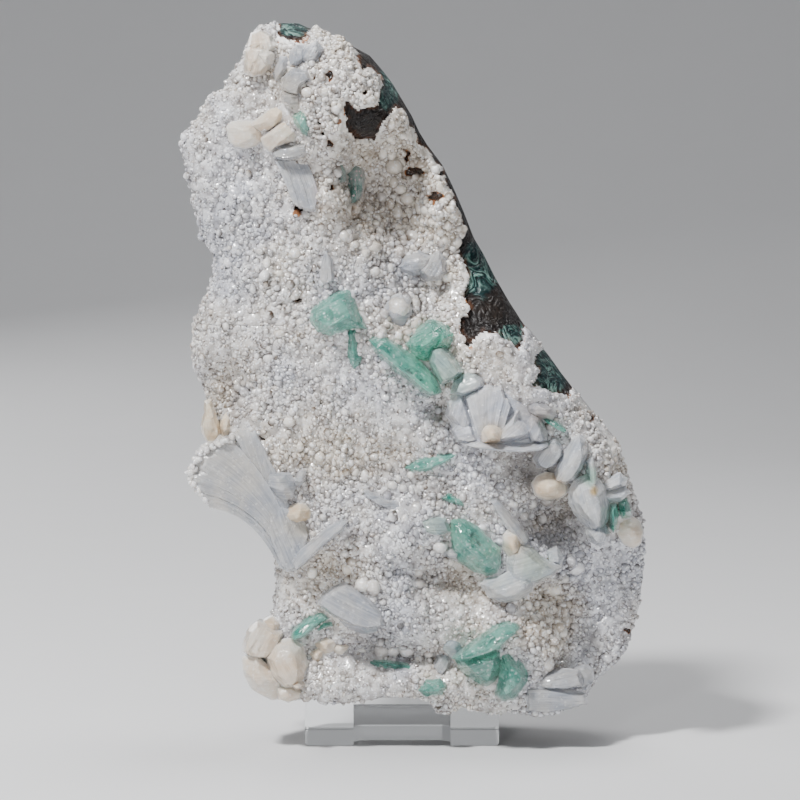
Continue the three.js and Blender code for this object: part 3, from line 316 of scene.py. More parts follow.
         (36.75, 77.75), (34.5, 76.5), (31.5, 77.25), (30.25, 80.25)]),
        ("blade", 11, 2, -2, 0, 0, [(14.25, 77.5), (18, 78.5), (24.5, 77.75), (30, 77.5), (36, 78.25),
         (37.25, 77), (34.5, 75.5), (29.5, 75), (23.25, 75.5), (17.5, 76.25)]),
        ("plate", 7.4, 2, 20, 0, 0, [(12, 80.75), (13.75, 83), (16, 83.75), (18, 81.75), (19.5, 77.75),
         (16.5, 77), (13.5, 77.75)]),
    ],
    "heulandite_edge_sheaf": [
        ("plate", 7.4, 2, 55, 0, 0, [(32.5, 73.25), (34, 76.25), (36.25, 78), (38.5, 78.5), (40.25, 76.75),
         (40.5, 74), (38.5, 71.25), (36, 70), (33.75, 71)]),
        ("plate", 9.2, 2, 60, 0.1, 0, [(37.5, 67.75), (38.5, 71.25), (40.5, 75.25), (42.25, 78.5),
         (44.25, 79.75), (46, 78.25), (46.5, 74.75), (45.5, 71.25), (43.25, 68), (40.5, 66.5)]),
        ("plate", 10.8, 2, 105, 0.1, -0.1, [(41.5, 65.75), (43, 68.25), (46, 69.5), (49, 68.75), (51, 65.75),
         (52, 61.75), (51.75, 58.25), (50.75, 55.5), (48, 54), (45.25, 56.75), (43, 59.25), (41.5, 62.25)],
         (46.5, 65.25)),
        ("plate", 10.4, 2, 70, 0.1, -0.1, [(46, 55.75), (49, 57.25), (51.5, 56.25), (52.25, 54), (51, 51.75),
         (49.25, 51), (47, 52.25), (45.75, 54.25)], (46.5, 65.25)),
        ("blade", 8.6, 2, 80, 0.1, 0, [(45.75, 72.75), (47.5, 74.25), (49, 70.75), (48.5, 66.25),
         (46.75, 66.75), (46, 69.75)]),
        ("plate", 8.4, 2, 30, 0.2, 0, [(48.5, 65.5), (51, 68), (54.5, 69.5), (56.75, 67.75), (55.75, 65.5),
         (52, 64)]),
        ("plate", 9.4, 2, -5, 0.1, 0, [(48.5, 65.5), (52.5, 65.5), (56, 66), (57.5, 64.5), (55, 62.25),
         (51.5, 62), (49.25, 63.25)]),
    ],
    "heulandite_shoulder_block": [
        ("nugget", 5, 2, 0, 0, 0.1, [(31, 88.2), (33, 89), (36, 87.2), (38.5, 84.8), (37.5, 82.8),
         (35, 83.2), (31.5, 85.2)]),
    ],
    "heulandite_edge_ball": [
        ("ball", 6, 2, 0, 0, 0, [(53.8, 57.8), (55.5, 58.5), (58, 58.2), (60, 56.8), (60.8, 54.2),
         (60.2, 51.2), (58.2, 49.8), (55.8, 50.8), (54, 53.8)]),
    ],
    "heulandite_lower_sheaf": [
        ("blade", 6.5, 2, -55, 0, 0, [(22, 62.75), (23.75, 63.5), (26.5, 60.5), (29.5, 57), (32, 53.25),
         (30, 50.75), (26.25, 55.25), (23.5, 59.25)]),
        ("plate", 9.2, 2, 15, 0.1, 0, [(26, 47.75), (26.75, 50.75), (29.5, 52.75), (32.25, 51.25),
         (34.75, 49), (37.5, 47.25), (40.25, 46), (38, 43.75), (34.75, 42.25), (30.5, 40.75), (26.5, 42.25)],
         (32, 47.25)),
        ("plate", 8.8, 2, 20, 0, -0.1, [(19.5, 42), (20.75, 43.5), (24, 44), (27.5, 45.75), (31.5, 45.25),
         (34, 43.5), (32.5, 40), (29.5, 37.75), (25.75, 36.75), (21.75, 38.5)]),
        ("nugget", 7, 2, 0, 0, 0, [(36.5, 49.5), (39, 50.75), (41, 48), (40, 44.5), (37, 45.75)]),
    ],
    "heulandite_foot_plate": [
        ("plate", 6.2, 2, -28, 0.05, 0.15, [(-21.25, 37.25), (-20, 39.75), (-17, 41.75), (-14, 42.5),
         (-10.5, 40.75), (-7, 38), (-4.5, 34.75), (-4.25, 31.5), (-8.5, 30.75), (-13, 31.75),
         (-17.5, 34.25)], (-12, 37)),
        ("nugget", 5.6, 2, 0, 0.05, 0, [(-17.25, 34.75), (-13.5, 33.25), (-9, 32.25), (-4.5, 32.25),
         (-5.5, 29.75), (-10, 29.25), (-14.5, 31.25)]),
    ],
    "heulandite_foot_cluster": [
        ("nugget", 5.2, 6, 0, 0, 0.1, [(-35, 32.25), (-32.5, 33.25), (-30.25, 31), (-31.5, 28.25),
         (-34.5, 28.75)], (-31.5, 27.75)),
        ("plate", 6.6, 8, 60, 0.1, 0, [(-39.75, 27.25), (-38.75, 30.25), (-36.5, 32.25), (-33.5, 31.5),
         (-29.75, 29.25), (-30.5, 25.25), (-33.75, 22.5), (-38, 23), (-40.25, 24.5)], (-30.5, 26.5)),
        ("plate", 8.6, 7, 120, 0, 0.05, [(-34.5, 23.75), (-31.75, 27.5), (-27.75, 28.25), (-24.75, 26.5),
         (-23.5, 21.5), (-24, 17.25), (-26.25, 15), (-29.5, 15.25), (-32.75, 18.25)], (-27.5, 23.5)),
        ("nugget", 5.6, 8, 0, 0.05, -0.05, [(-40.25, 23.5), (-36.5, 24), (-33.25, 21), (-30.5, 16.75),
         (-29, 13.25), (-32.5, 12), (-35.25, 13.5), (-38, 15.25), (-39.75, 19)], (-29.25, 20.75)),
        ("plate", 5, 6, 20, 0, 0, [(-31.5, 15.75), (-27.75, 16.5), (-24.5, 15.25), (-25, 12.75),
         (-28.5, 11.75), (-31.25, 12.5)], (-28, 20.25)),
        ("plate", 9.6, 6, 70, 0, 0, [(-28.25, 18.25), (-25.5, 19), (-23.5, 17.25), (-24.5, 15), (-27, 14.75),
         (-28.5, 16.25)], (-27.5, 23.5)),
    ],
    "heulandite_foot_pebbles": [
        ("nugget", 4, 2, 0, 0, 0, [(-22.2, 26.5), (-19, 28.2), (-16.5, 27.2), (-16.8, 24.5), (-20, 23.5)]),
        ("nugget", 3.5, 2, 0, 0, 0, [(-17.8, 26), (-15, 27), (-13, 25.5), (-15, 23.5), (-17.5, 23.8)]),
        ("nugget", 3, 2, 0, 0, 0, [(-23.4, 24.2), (-21.2, 25.5), (-19.5, 24.5), (-21, 21.6), (-22.6, 22.4)]),
    ],
    "heulandite_top_block": [
        ("plate", 5.6, 2, 75, 0.1, 0.05, [(-39.25, 171.25), (-39, 174.75), (-37.5, 176.25), (-34, 176),
         (-31.75, 174.25), (-31.75, 171), (-34.5, 168.75), (-37, 168.25), (-39, 169.25)], (-33, 171)),
        ("plate", 4.6, 2, 100, 0.1, 0.2, [(-38.25, 175.75), (-37.5, 179.25), (-35, 180), (-32.25, 178.75),
         (-31, 175.75), (-33, 173.25), (-36.5, 173.75)], (-32, 175)),
        ("nugget", 6.6, 2, 0, 0, 0, [(-35.75, 174.75), (-33, 175.5), (-31.25, 173.75), (-31.75, 171.25),
         (-35, 171), (-36, 172.75)], (-33, 171)),
    ],
    "heulandite_top_column": [
        ("plate", 4.6, 2, 80, 0, 0.1, [(-27.75, 174.75), (-26, 176.25), (-23.5, 176), (-23.25, 172.25),
         (-26, 170.25), (-28.25, 170.75)]),
        ("plate", 5, 2, 60, 0, 0.1, [(-24.25, 175.75), (-21, 177.25), (-19, 175.25), (-20.5, 171.75),
         (-23.5, 171), (-25.25, 172.75)]),
        ("plate", 5.2, 2, 60, 0, 0, [(-30.25, 173.25), (-28.5, 173.5), (-27.5, 170.25), (-29.25, 167.75),
         (-31.5, 166.75), (-32, 169.25)]),
        ("plate", 5.6, 2, 25, 0, 0, [(-29.5, 168.25), (-27, 170.5), (-23, 170.25), (-22, 167.75),
         (-24.5, 165.75), (-25.25, 163.25), (-28, 163.75), (-30, 165.75)]),
        ("plate", 4.8, 2, 10, 0, 0, [(-30, 164.75), (-27.5, 164.75), (-25, 164), (-24.75, 161.25),
         (-26.5, 160.25), (-29.5, 161.75)]),
    ],
    "heulandite_upper_bar": [
        ("nugget", 6.4, 3, 0, 0.1, 0, [(-43.5, 156), (-42.5, 157.25), (-39.5, 157.75), (-36.25, 157.5),
         (-34, 155.25), (-34, 152.75), (-36.25, 151), (-39, 150.5), (-41.5, 151), (-43, 152.5)]),
        ("nugget", 6, 3, 35, 0, 0, [(-37.5, 156.75), (-36, 158), (-32.5, 160.5), (-28.75, 162), (-27, 161),
         (-27.25, 159), (-29.5, 157.5), (-33, 155), (-36, 154.75)], (-34, 155.5)),
        ("nugget", 7, 3, 50, 0, 0, [(-35, 153.25), (-32.5, 155), (-28.75, 158), (-25.75, 155.25),
         (-25.25, 152.75), (-28, 152), (-31.25, 151), (-32.5, 149.75), (-34.25, 151)], (-31, 154)),
    ],
    "heulandite_upper_blade": [
        ("plate", 6.2, 2, 8, 0, 0, [(-32.25, 149.75), (-30.25, 151.5), (-26.5, 152), (-23.25, 152.25),
         (-23, 149), (-25.5, 148), (-29.25, 147.5), (-31.75, 148.25)]),
        ("fan", 5.8, 2, 7, 0.1, -0.1, ([(-31.75, 147.75), (-28, 147.5), (-23.5, 148)], [(-29, 141.75),
         (-25.5, 141.75), (-21.25, 142.75)], [(-27, 136.75), (-24.5, 135), (-22, 135), (-20.25, 137.75)]),
         (-26, 144)),
    ],
    "heulandite_mid_splinter": [
        ("blade", 3.5, 2, 80, 0, 0.1, [(-20.4, 122.5), (-18.8, 125.6), (-17, 123), (-16.6, 120),
         (-16.2, 117.8), (-19.8, 116.8), (-20.8, 118)]),
    ],
    "heulandite_vug_cluster": [
        ("plate", 6, 2, 10, 0, 0.1, [(-2.5, 121), (0.5, 124), (4.5, 125), (8, 123.5), (7.5, 120), (3, 118),
         (-0.5, 119)]),
        ("plate", 6.5, 2, 60, 0.1, 0, [(3, 120), (6, 123.5), (9.5, 125.5), (11.6, 123), (12, 119.5),
         (10, 116.8), (5.5, 117)]),
    ],
    "heulandite_vug_grapes": [
        ("ball", 5.5, 2, 0, 0, 0, [(-5, 110.4), (-3.6, 113.6), (-0.8, 114.6), (1.8, 113), (2.6, 109.6),
         (1.2, 105.6), (-2, 104.4), (-4.4, 107)]),
    ],
    "heulandite_right_foot": [
        ("plate", 5.5, 2, 10, 0, 0.1, [(32, 16.6), (35.4, 19.2), (40.5, 20.4), (44.5, 20.2), (45.8, 16),
         (41.2, 14.8), (36.2, 15)]),
        ("blade", 5.4, 2, -60, 0.1, 0, [(43, 19.8), (46.2, 20.8), (48.4, 19.4), (48.6, 16.4), (46.8, 14),
         (44, 14.2)]),
        ("plate", 5, 2, 0, 0, 0, [(30.6, 16.4), (36, 16), (40, 15.5), (46, 14.2), (46.6, 11.4), (42.5, 10.2),
         (36.2, 9), (31.4, 9.6)]),
    ],
}
CREAM_NODES = (
    "heulandite_notch_pair", "heulandite_cream_block", "heulandite_edge_ball", "heulandite_foot_cluster",
    "heulandite_foot_pebbles", "heulandite_top_block", "heulandite_upper_bar",
)
# Peach balls that grow on white sheaves, in the form of the rows above
PEACH_BALLS = [
    ("ball", 13, 2, 0, 0, 0, [(18.5, 79.8), (19.5, 82.2), (22.5, 82.8), (25, 81.8), (26, 80), (25, 78),
     (22.5, 77), (19.8, 77.5)], (22.5, 80)),
    ("ball", 9.5, 2, 0, 0, 0, [(32.2, 67.2), (33.5, 69), (36, 70), (39, 69.5), (41.2, 67.2), (41.5, 64.8),
     (39.5, 63.2), (36, 62.8), (33.2, 64)], (42, 68)),
    ("ball", 9.8, 2, 0, 0, 0, [(25, 54), (26.5, 55.8), (28.8, 56), (30, 53.8), (30.2, 50.2), (29, 48.2),
     (27, 47.8), (25.2, 50.2)], (28, 52)),
]
# Stage: half its width, where the floor starts to curve up, the curve's radius and steps, and the floor's
# depth under the stand, which keeps the two surfaces apart
SWEEP_SPAN = 4000.0
SWEEP_FAR = 700.0
SWEEP_BEND = 900.0
SWEEP_STEPS = 33
FLOOR_GAP = 0.06
# Lights: name, place in metres, width and watts, and the place that they are turned to
LIGHTS = (
    ("key", (-0.35, -0.42, 0.75), 0.12, 11.5), ("fill", (0.55, -0.75, 0.2), 0.4, 0.9),
    ("front", (-0.22, -0.95, 0.3), 0.05, 1.5), ("top", (0.12, 0.15, 0.8), 0.4, 3.0),
    ("back", (-0.3, 0.8, 0.4), 0.5, 2.0),
)
LIGHT_AIM = (0.0, -0.01, 0.09)
SKY = (0.80, 0.84, 0.9, 1.0)
SKY_STRENGTH = 0.11
# Camera: the place that it looks at in metres, its distance, tilt in degrees, and lens and sensor in
# millimetres
CAMERA_AIM = (-0.0005, -0.022, 0.08775)
CAMERA_DISTANCE = 1.0
CAMERA_TILT = 5.0
CAMERA_LENS = 180.0
CAMERA_SENSOR = 36.0
# Small pale crystals between the larger ones, in the form of the rows above
SMALL_CRYSTALS = [
    ("plate", 2.6, 2, 0, 0, 0.1, [(-10, 65.75), (-7.5, 65.25), (-4, 63.75), (-0.75, 62.75), (0, 60.75),
     (-3, 60.5), (-6.25, 62), (-9, 63.75)]),
    ("plate", 3.6, 2, 0, 0, 0, [(4.25, 58.25), (7.5, 59.25), (11.25, 58.75), (12.25, 55.25), (9, 54),
     (5.5, 55)]),
    ("nugget", 5, 2, 0, 0, 0, [(-27, 67.25), (-26.25, 69.75), (-24.75, 71.25), (-23.75, 70.5),
     (-24.25, 67.75), (-25.75, 66)]),
    ("plate", 3, 2, 0, 0, 0, [(10.25, 51.5), (12.5, 51.25), (14.5, 49.75), (14, 47.75), (11.5, 48.25),
     (10, 49.75)]),
    ("nugget", 3.6, 2, 0, 0, 0, [(10.5, 27.75), (12.5, 28.75), (15, 27.75), (15, 24.75), (12.25, 23.25),
     (10.25, 25.25)]),
]
# Single larger beads of the crust: x, z and radius
PEARLS = [
    (43.75, 44.5, 2.25), (40.75, 41.75, 1.5), (38, 38.75, 2.25), (35.5, 35.25, 1.75), (39.5, 36.5, 1),
    (35.25, 40, 1.25), (37.5, 27.5, 1.5), (36.5, 21.75, 2), (38.75, 24, 1), (36.5, 61.75, 1.75),
    (27.75, 61.5, 1.25), (30.25, 58.25, 1.5), (32.5, 61.25, 1.5), (42.5, 47, 1.25), (-2.5, 66.75, 1.25),
    (-1, 68.25, 1), (2.25, 69.25, 1.125), (0.25, 66, 1.125), (3.5, 61.25, 1.5), (-2.25, 60.25, 1),
    (0.75, 58.5, 1.25), (9.5, 51.25, 1.75), (12, 47.75, 1.25), (-13.5, 46, 1.75), (-7.25, 41.25, 2),
    (-9.75, 42, 2), (-22.5, 44.75, 1.5), (4, 44.5, 1.5), (4.25, 41.75, 1.5), (-10.25, 24.25, 1),
    (-5, 24.25, 2.25), (-2.25, 24.25, 2), (1.25, 24.5, 2), (4, 21.5, 1), (-3, 153.25, 1.25),
    (-2.5, 149, 1.5), (-2, 145.75, 2.25), (-2.25, 141.75, 1.5), (-0.25, 140, 1.5), (1.5, 137.75, 2),
    (4.75, 135.5, 1.75), (8.25, 135, 1.5), (-4.75, 149.25, 1.5), (-1.25, 130.25, 1.5), (-14.25, 129, 1.5),
    (-12, 126.75, 1.25), (-7.25, 126, 2), (-9.25, 124.5, 1.25), (-3, 120.75, 1.25), (-7, 120, 1.5),
    (-5.5, 119.5, 1), (-2, 116, 1.25), (-3.25, 113.75, 1.5), (-6.25, 113, 1), (2.25, 113.75, 1.5),
    (3.25, 111.75, 1.5), (-1.25, 110.75, 3), (3.25, 106.75, 2), (-4, 108.25, 1.25), (-7.75, 108.25, 1),
    (-15.5, 161, 1), (-23.25, 164.5, 1.5), (-30.5, 119.75, 1), (-31.75, 126, 1.25), (-26.5, 124.75, 1.5),
    (-33.5, 122.25, 1.25), (-43, 122.25, 1.5), (-30.5, 104.75, 1.25), (-25.25, 107.75, 1), (-28, 82.75, 1.5),
    (-18, 79.75, 1), (-14.25, 85.25, 1), (-25.5, 76.5, 1.25), (-20.5, 74, 1.5), (-16.25, 77.75, 1.25),
    (-11.75, 70.25, 1.25),
]
# Beads along the left rim of the large sheaf, from its lowest to its highest end, the sheaf's seat, how many
# stand in each of the rows one behind the other, and how far each row stands before the face
SHEAF_RIM = [(-49, 64.2), (-52, 67.4), (-52.4, 69.75), (-51, 73.8), (-48.8, 76), (-46, 77.4), (-42.6, 78.6)]
SHEAF_SEAT = (-29.0, 52.0)
RIM_SIDES = 12
RIM_RINGS = 5
RIM_BEADS = 40
RIM_ROWS = (7.2, 5.4)
# Orange-brown films on the crust: x, z and reach
RUST_PATCHES = [
    (-31.2, 176.4, 0.9), (-23.6, 177.6, 1.5), (-25.8, 176.6, 0.7), (-15.6, 157.4, 0.8), (-26, 134.8, 1.3),
    (-3.4, 167, 0.8), (13, 104.8, 0.6), (17.2, 100.8, 0.6), (59.6, 61.4, 0.8), (-48.5, 113.6, 0.6),
    (47.5, 82.3, 0.8), (8, 137.6, 1.2), (51.5, 17.8, 0.8),
]
# Darker places of the crust, partly brown stain and partly painted shade in hollows and crevices: x, z, reach
# and share
STAINS_AND_HOLLOW_SHADE = [
    (38, 56.5, 7, 0.9), (33, 69, 5, 0.7), (13, 44, 6, 0.45), (3, 40, 3, 0.5), (-44, 87, 8, 0.5),
    (-7, 28, 5, 0.6), (-8, 141, 12, 0.4), (54, 28, 9, 0.25), (-43, 133, 8, 0.25), (9.5, 83, 5, 0.5),
    (0, 112, 6, 0.35), (-12, 128, 8, 0.25), (-30, 166, 3, 0.35), (-4, 75, 6, 0.2), (8, 66, 5, 0.3),
]
# Colours that tint the pale crystals in places: x, z, reach and colour
TINTS = [
    (20, 82, 13, (1.32, 1.32, 1.34)), (46, 66, 12, (1.25, 1.27, 1.27)), (30, 44, 10, (1.2, 1.22, 1.2)),
    (22.4, 80, 2.6, (1.0, 0.9, 0.77)), (37, 66.5, 3.6, (1.0, 0.92, 0.8)), (27.8, 52, 2.4, (1.0, 0.93, 0.82)),
    (10, 97, 8, (0.86, 1.12, 1.0)), (33, 47, 4, (1.02, 1.14, 1.0)), (46.5, 69.5, 2.2, (0.76, 1.05, 0.9)),
    (47.6, 66, 1.1, (1.2, 0.86, 0.4)), (9, 57, 6, (0.80, 0.97, 0.88)), (-48, 84, 9, (1.0, 0.95, 0.85)),
    (-44, 68, 9, (1.0, 0.97, 0.92)), (-25, 58, 4, (1.0, 0.93, 0.80)), (12, 26, 4, (0.85, 0.96, 0.95)),
    (-12.5, 141, 7, (1.6, 0.88, 1.0)), (33.5, 86, 4, (1.0, 0.93, 0.88)), (-29, 163, 6, (1.0, 0.94, 0.84)),
]
# Dark spots inside the green crystals: x, z, half width, half height
INCLUSIONS = [
    (-21.2, 108.4, 0.6, 0.6), (-4.2, 101.5, 0.8, 0.5), (2.2, 95.8, 1.9, 0.9), (4.6, 93.8, 0.9, 0.8),
    (17.5, 54.5, 1.0, 1.5), (19, 52.5, 0.8, 1.0), (23, 29, 1.2, 0.9),
]


def smooth(t):
    """0 to 1 with level ends: t squared times three less two t, for t held from 0 to 1."""
    t = np.clip(t, 0.0, 1.0)
    return t * t * (3.0 - 2.0 * t)


def mix(a, b, t):
    """From a to b by the share t."""
    return a + (b - a) * t


def along(edge, at, key):
    """The edge's other coordinate at each value of its coordinate number key, by straight runs."""
    line = np.array(sorted((p[key], p[1 - key]) for p in edge))
    return np.interp(at, line[:, 0], line[:, 1])


def turned(x, z, degrees):
    """Places along and across a direction in the face."""
    c, s = math.cos(math.radians(degrees)), math.sin(math.radians(degrees))
    return x * c + z * s, z * c - x * s


def ellipse_reach(x, z, cx, cz, rx, rz, turn=0.0):
    """Distance from the middle of an ellipse, as a share of the way to its border."""
    a, b = turned(x - cx, z - cz, turn)
    return np.hypot(a / rx, b / rz)


def hill(x, z, cx, cz, reach):
    """A Gaussian hill of height 1 round a place."""
    return np.exp(-((x - cx) ** 2 + (z - cz) ** 2) / reach ** 2)


def unit(vectors):
    """Vectors, one a row, drawn out to length 1."""
    return vectors / np.linalg.norm(vectors, axis=1, keepdims=True)


def towards_viewer(rng, x, z, count):
    """Axes that point out of the face, spread round the given lean to the right and upwards."""
    return unit(np.column_stack([rng.normal(x, 0.25, count), -np.ones(count), rng.normal(z, 0.25, count)]))


def left_at(z):
    """X of the silhouette's left edge."""
    return along(LEFT_EDGE, z, 1)


def right_at(z):
    """X of the silhouette's right edge."""
    return along(RIGHT_EDGE, z, 1)


def hashed(cell, seed):
    """A value from -1 to 1 that looks random, worked out from whole-numbered coordinates."""
    factors = np.array([374761393, 668265263, 2147483647][:cell.shape[-1]])
    h = (np.sum(cell * factors, axis=-1) + seed * 974634777) & 0xFFFFFFFF
    h = ((h ^ (h >> 13)) * 1274126177) & 0xFFFFFFFF
    return (h ^ (h >> 16)) / 0x80000000 - 1.0


def lattice_noise(points, size, seed):
    """Smooth noise from -1 to 1: random values on a cubic lattice of that cell size, blended with level
    ends."""
    q = np.asarray(points, float) / size
    base = np.floor(q).astype(np.int64)
    part = smooth(q - base)
    total = np.zeros(len(q))
    for corner in range(8):
        step = np.array([corner & 1, (corner >> 1) & 1, (corner >> 2) & 1])
        weight = np.prod(np.where(step == 1, part, 1.0 - part), axis=1)
        total += weight * hashed(base + step, seed)
    return total


def plane_noise(x, z, size, seed):
    """Lattice noise over the X-Z plane."""
    x, z = np.broadcast_arrays(np.asarray(x, float), np.asarray(z, float))
    points = np.column_stack([x.ravel(), z.ravel(), np.zeros(x.size)])
    return lattice_noise(points, size, seed).reshape(x.shape)


def swell(x, z):
    """How far the face stands in front of Y = 0: a plane with each relief feature added as a Gaussian hill
    whose exponent is raised to its flatness."""
    height = np.full(np.shape(x), FACE, float)
    for cx, cz, rx, rz, turn, rise, flatness in RELIEF:
        height = height + rise * np.exp(-ellipse_reach(x, z, cx, cz, rx, rz, turn) ** (2 * flatness))
    return height


def rounded(distance, width):
    """1 at an edge and 0 past the width of its rounding, along a quarter of an ellipse."""
    t = np.clip(1.0 - distance / width, 0.0, 1.0)
    return 1.0 - np.sqrt(1.0 - t * t)


def face_y(x, z):
    """Y of the face: minus the swell, mixed towards the silhouette line near each edge."""
    inward = {"foot": z - along(FOOT_EDGE, x, 0), "left": SILHOUETTE_SLOPE * (x - left_at(z)),
              "right": SILHOUETTE_SLOPE * (right_at(z) - x), "top": TOP_EDGE[1][1] + 1 - z}
    y = -swell(x, z)
    for side, distance in inward.items():
        line, width = ROUNDING[side]
        y = mix(y, line, rounded(distance, width))
    return y


def nearest_cell(x, z, size, seed):
    """Distance, in cells, to the nearest of one moved point in each square, and that square's own random
    value."""
    q = np.stack([np.asarray(x, float) / size, np.asarray(z, float) / size], axis=-1)
    base = np.floor(q).astype(np.int64)
    nearest = np.full(q.shape[:-1], 9.0)
    value = np.zeros(q.shape[:-1])
    for step in np.ndindex(3, 3):
        cell = base + np.array(step) - 1
        moved = cell + 0.5 + 0.42 * np.stack([hashed(cell, seed), hashed(cell, seed + 1)], axis=-1)
        distance = np.sum((q - moved) ** 2, axis=-1)
        closer = distance < nearest
        nearest = np.where(closer, distance, nearest)
        value = np.where(closer, hashed(cell, seed + 2), value)
    return np.sqrt(nearest), value


def rounded_cells(x, z, size, seed):
    """Rounded lumps: one less the squared distance, in cells, to the nearest moved point."""
    return 1.0 - np.minimum(nearest_cell(x, z, size, seed)[0] ** 2, 1.0)


def grains(x, z, size):
    """Grains that grow side by side: for each size of cell, half an ellipse over the distance to the
    nearest moved point, as high as that cell's random value says, of which the highest counts. Returns the
    rise and how far up a grain the place is, from 0 in a crevice to 1 on top."""
    rise = np.zeros(np.shape(x))
    warp = 0.3 * plane_noise(x, z, 1.4, 88)
    for cell, height, seed, least in GRAINS:
        distance, value = nearest_cell(x + warp, z - warp, cell, seed)
        dome = np.sqrt(np.clip(1.0 - (distance / 0.66) ** 2, 0.0, 1.0))
        rise = np.maximum(rise, height * dome * np.clip(mix(least, 1.1, 0.5 + 0.5 * value), 0.0, None))
    return rise * np.clip(size, 0.6, 1.5), np.clip(rise / 0.5, 0.0, 1.0)


def lumps(x, z):
    """Lumps of the crust between the relief and the beads: two sizes of rounded lumps over a soft swell."""
    shift = 1.4 * plane_noise(x, z, 4.0, 6)
    return (0.8 * plane_noise(x, z, 8.0, 3) + 1.3 * rounded_cells(x + shift, z - shift, 6.2, 5)
            + 0.6 * rounded_cells(x - shift, z + shift, 3.0, 7) - 0.9)


def outline_distance(outline, x, z):
    """Distance into a closed outline, negative outside: the nearest of its edges, signed by counting
    crossings."""
    x, z = np.broadcast_arrays(np.asarray(x, float), np.asarray(z, float))
    nearest = np.full(x.shape, np.inf)
    inside = np.zeros(x.shape, bool)
    for (ax, az), (bx, bz) in zip(outline, outline[1:] + outline[:1]):
        t = np.clip(((x - ax) * (bx - ax) + (z - az) * (bz - az)) / ((bx - ax) ** 2 + (bz - az) ** 2), 0, 1)
        nearest = np.minimum(nearest, np.hypot(x - mix(ax, bx, t), z - mix(az, bz, t)))
        if az != bz:
            crosses = ((az > z) != (bz > z)) & (x < ax + (z - az) * (bx - ax) / (bz - az))
            inside ^= crosses
    return np.where(inside, nearest, -nearest)


def bare_depth(x, z):
    """Distance into the nearest bare patch with a ragged edge: the outline's distance plus two sizes of
    noise."""
    best = np.full(np.shape(x), -99.0)
    for outline in BARE_ROCK:
        best = np.maximum(best, outline_distance(outline, x, z))
    return best + 0.55 * plane_noise(x, z, 1.7, 11) + 0.3 * plane_noise(x, z, 0.7, 12)


def pit_depth(x, z):
    """1 in the middle of a small ragged pit and 0 outside them: a smooth step of the distance from its
    centre, taken after noise has moved the place."""
    depth = np.zeros(np.shape(x))
    x, z = x + 0.5 * plane_noise(x, z, 1.0, 15), z + 0.5 * plane_noise(x, z, 1.0, 16)
    for pit in PITS:
        depth = np.maximum(depth, smooth(PIT_RIM - ellipse_reach(x, z, *pit)))
    return depth


def rust_patches(x, z):
    """Orange-brown films on the crust: a level reached inside each patch, broken up by noise."""
    share = np.zeros(np.shape(x))
    for cx, cz, reach in RUST_PATCHES:
        share = np.maximum(share, 0.62 * smooth(1.6 - np.hypot(x - cx, z - cz) / reach))
    return share * (1.0 + 0.4 * plane_noise(x, z, 0.9, 14))


def stain_and_hollow_shade(x, z):
    """How dark and brown the crust is in places, partly stain and partly painted shade in hollows and
    crevices: noise that is let through by each such place's Gaussian."""
    share = np.zeros(np.shape(x))
    for cx, cz, reach, most in STAINS_AND_HOLLOW_SHADE:
        share = np.maximum(share, most * hill(x, z, cx, cz, reach))
    return np.clip(share * (1.0 + 0.5 * plane_noise(x, z, 2.5, 17)), 0, 1)


def face_place(u, v):
    """A place on the face from its shares across and up: straight between the left and right edges, with
    the foot and top edges' own rise added near them."""
    (l0, l1), (r0, r1) = (LEFT_EDGE[0], LEFT_EDGE[-1]), (RIGHT_EDGE[0], RIGHT_EDGE[-1])
    zl, zr = mix(l0[1], l1[1], v), mix(r0[1], r1[1], v)
    x = mix(left_at(zl), right_at(zr), u)
    foot_lift = along(FOOT_EDGE, mix(l0[0], r0[0], u), 0) - mix(l0[1], r0[1], u)
    top_lift = along(TOP_EDGE, mix(l1[0], r1[0], u), 0) - mix(l1[1], r1[1], u)
    return x, mix(zl, zr, u) + foot_lift * (1 - v) ** 6 + top_lift * v ** 6


def make_mesh(name, points, faces, attributes=None, uv=None):
    """A smooth mesh object at the origin from points in millimetres and arrays of faces, with one float or
    colour attribute for each entry of attributes."""
    mesh = bpy.data.meshes.new(name)
    points = np.asarray(points, float)
    loops = np.concatenate([np.asarray(f, np.int32).ravel() for f in faces])
    counts = np.concatenate([np.full(len(f), np.shape(f)[1], np.int32) for f in faces])
    mesh.vertices.add(len(points))
    mesh.vertices.foreach_set("co", (points * MM).astype(np.float32).ravel())
    mesh.loops.add(len(loops))
    mesh.loops.foreach_set("vertex_index", loops)
    mesh.polygons.add(len(counts))
    mesh.polygons.foreach_set("loop_start", np.concatenate([[0], np.cumsum(counts)[:-1]]).astype(np.int32))
    mesh.update(calc_edges=True)
    mesh.polygons.foreach_set("use_smooth", np.ones(len(counts), bool))
    for key, values in (attributes or {}).items():
        values = np.asarray(values, np.float32)
        if values.ndim == 1:
            layer = mesh.attributes.new(key, "FLOAT", "POINT")
            layer.data.foreach_set("value", values)
        else:
            layer = mesh.attributes.new(key, "FLOAT_COLOR", "POINT")
            rgba = np.ones((len(values), 4), np.float32)
            rgba[:, :3] = values
            layer.data.foreach_set("color", rgba.ravel())
    if uv is not None:
        layer = mesh.uv_layers.new(name="grain")
        layer.data.foreach_set("uv", np.asarray(uv, np.float32)[loops].ravel())
    mesh.validate()
    obj = bpy.data.objects.new(name, mesh)
    bpy.context.scene.collection.objects.link(obj)
    return obj


def grid_quads(rows, columns, wrap=False):
    """Quads between neighbouring points of a grid, stored row by row, turned so that they face the side
    from which columns run to the right and rows run up."""
    j, i = np.meshgrid(np.arange(rows - 1), np.arange(columns if wrap else columns - 1), indexing="ij")
    k = (i + 1) % columns
    a, b = j * columns + i, j * columns + k
    c, d = (j + 1) * columns + k, (j + 1) * columns + i
    return np.stack([a, b, c, d], axis=-1).reshape(-1, 4)


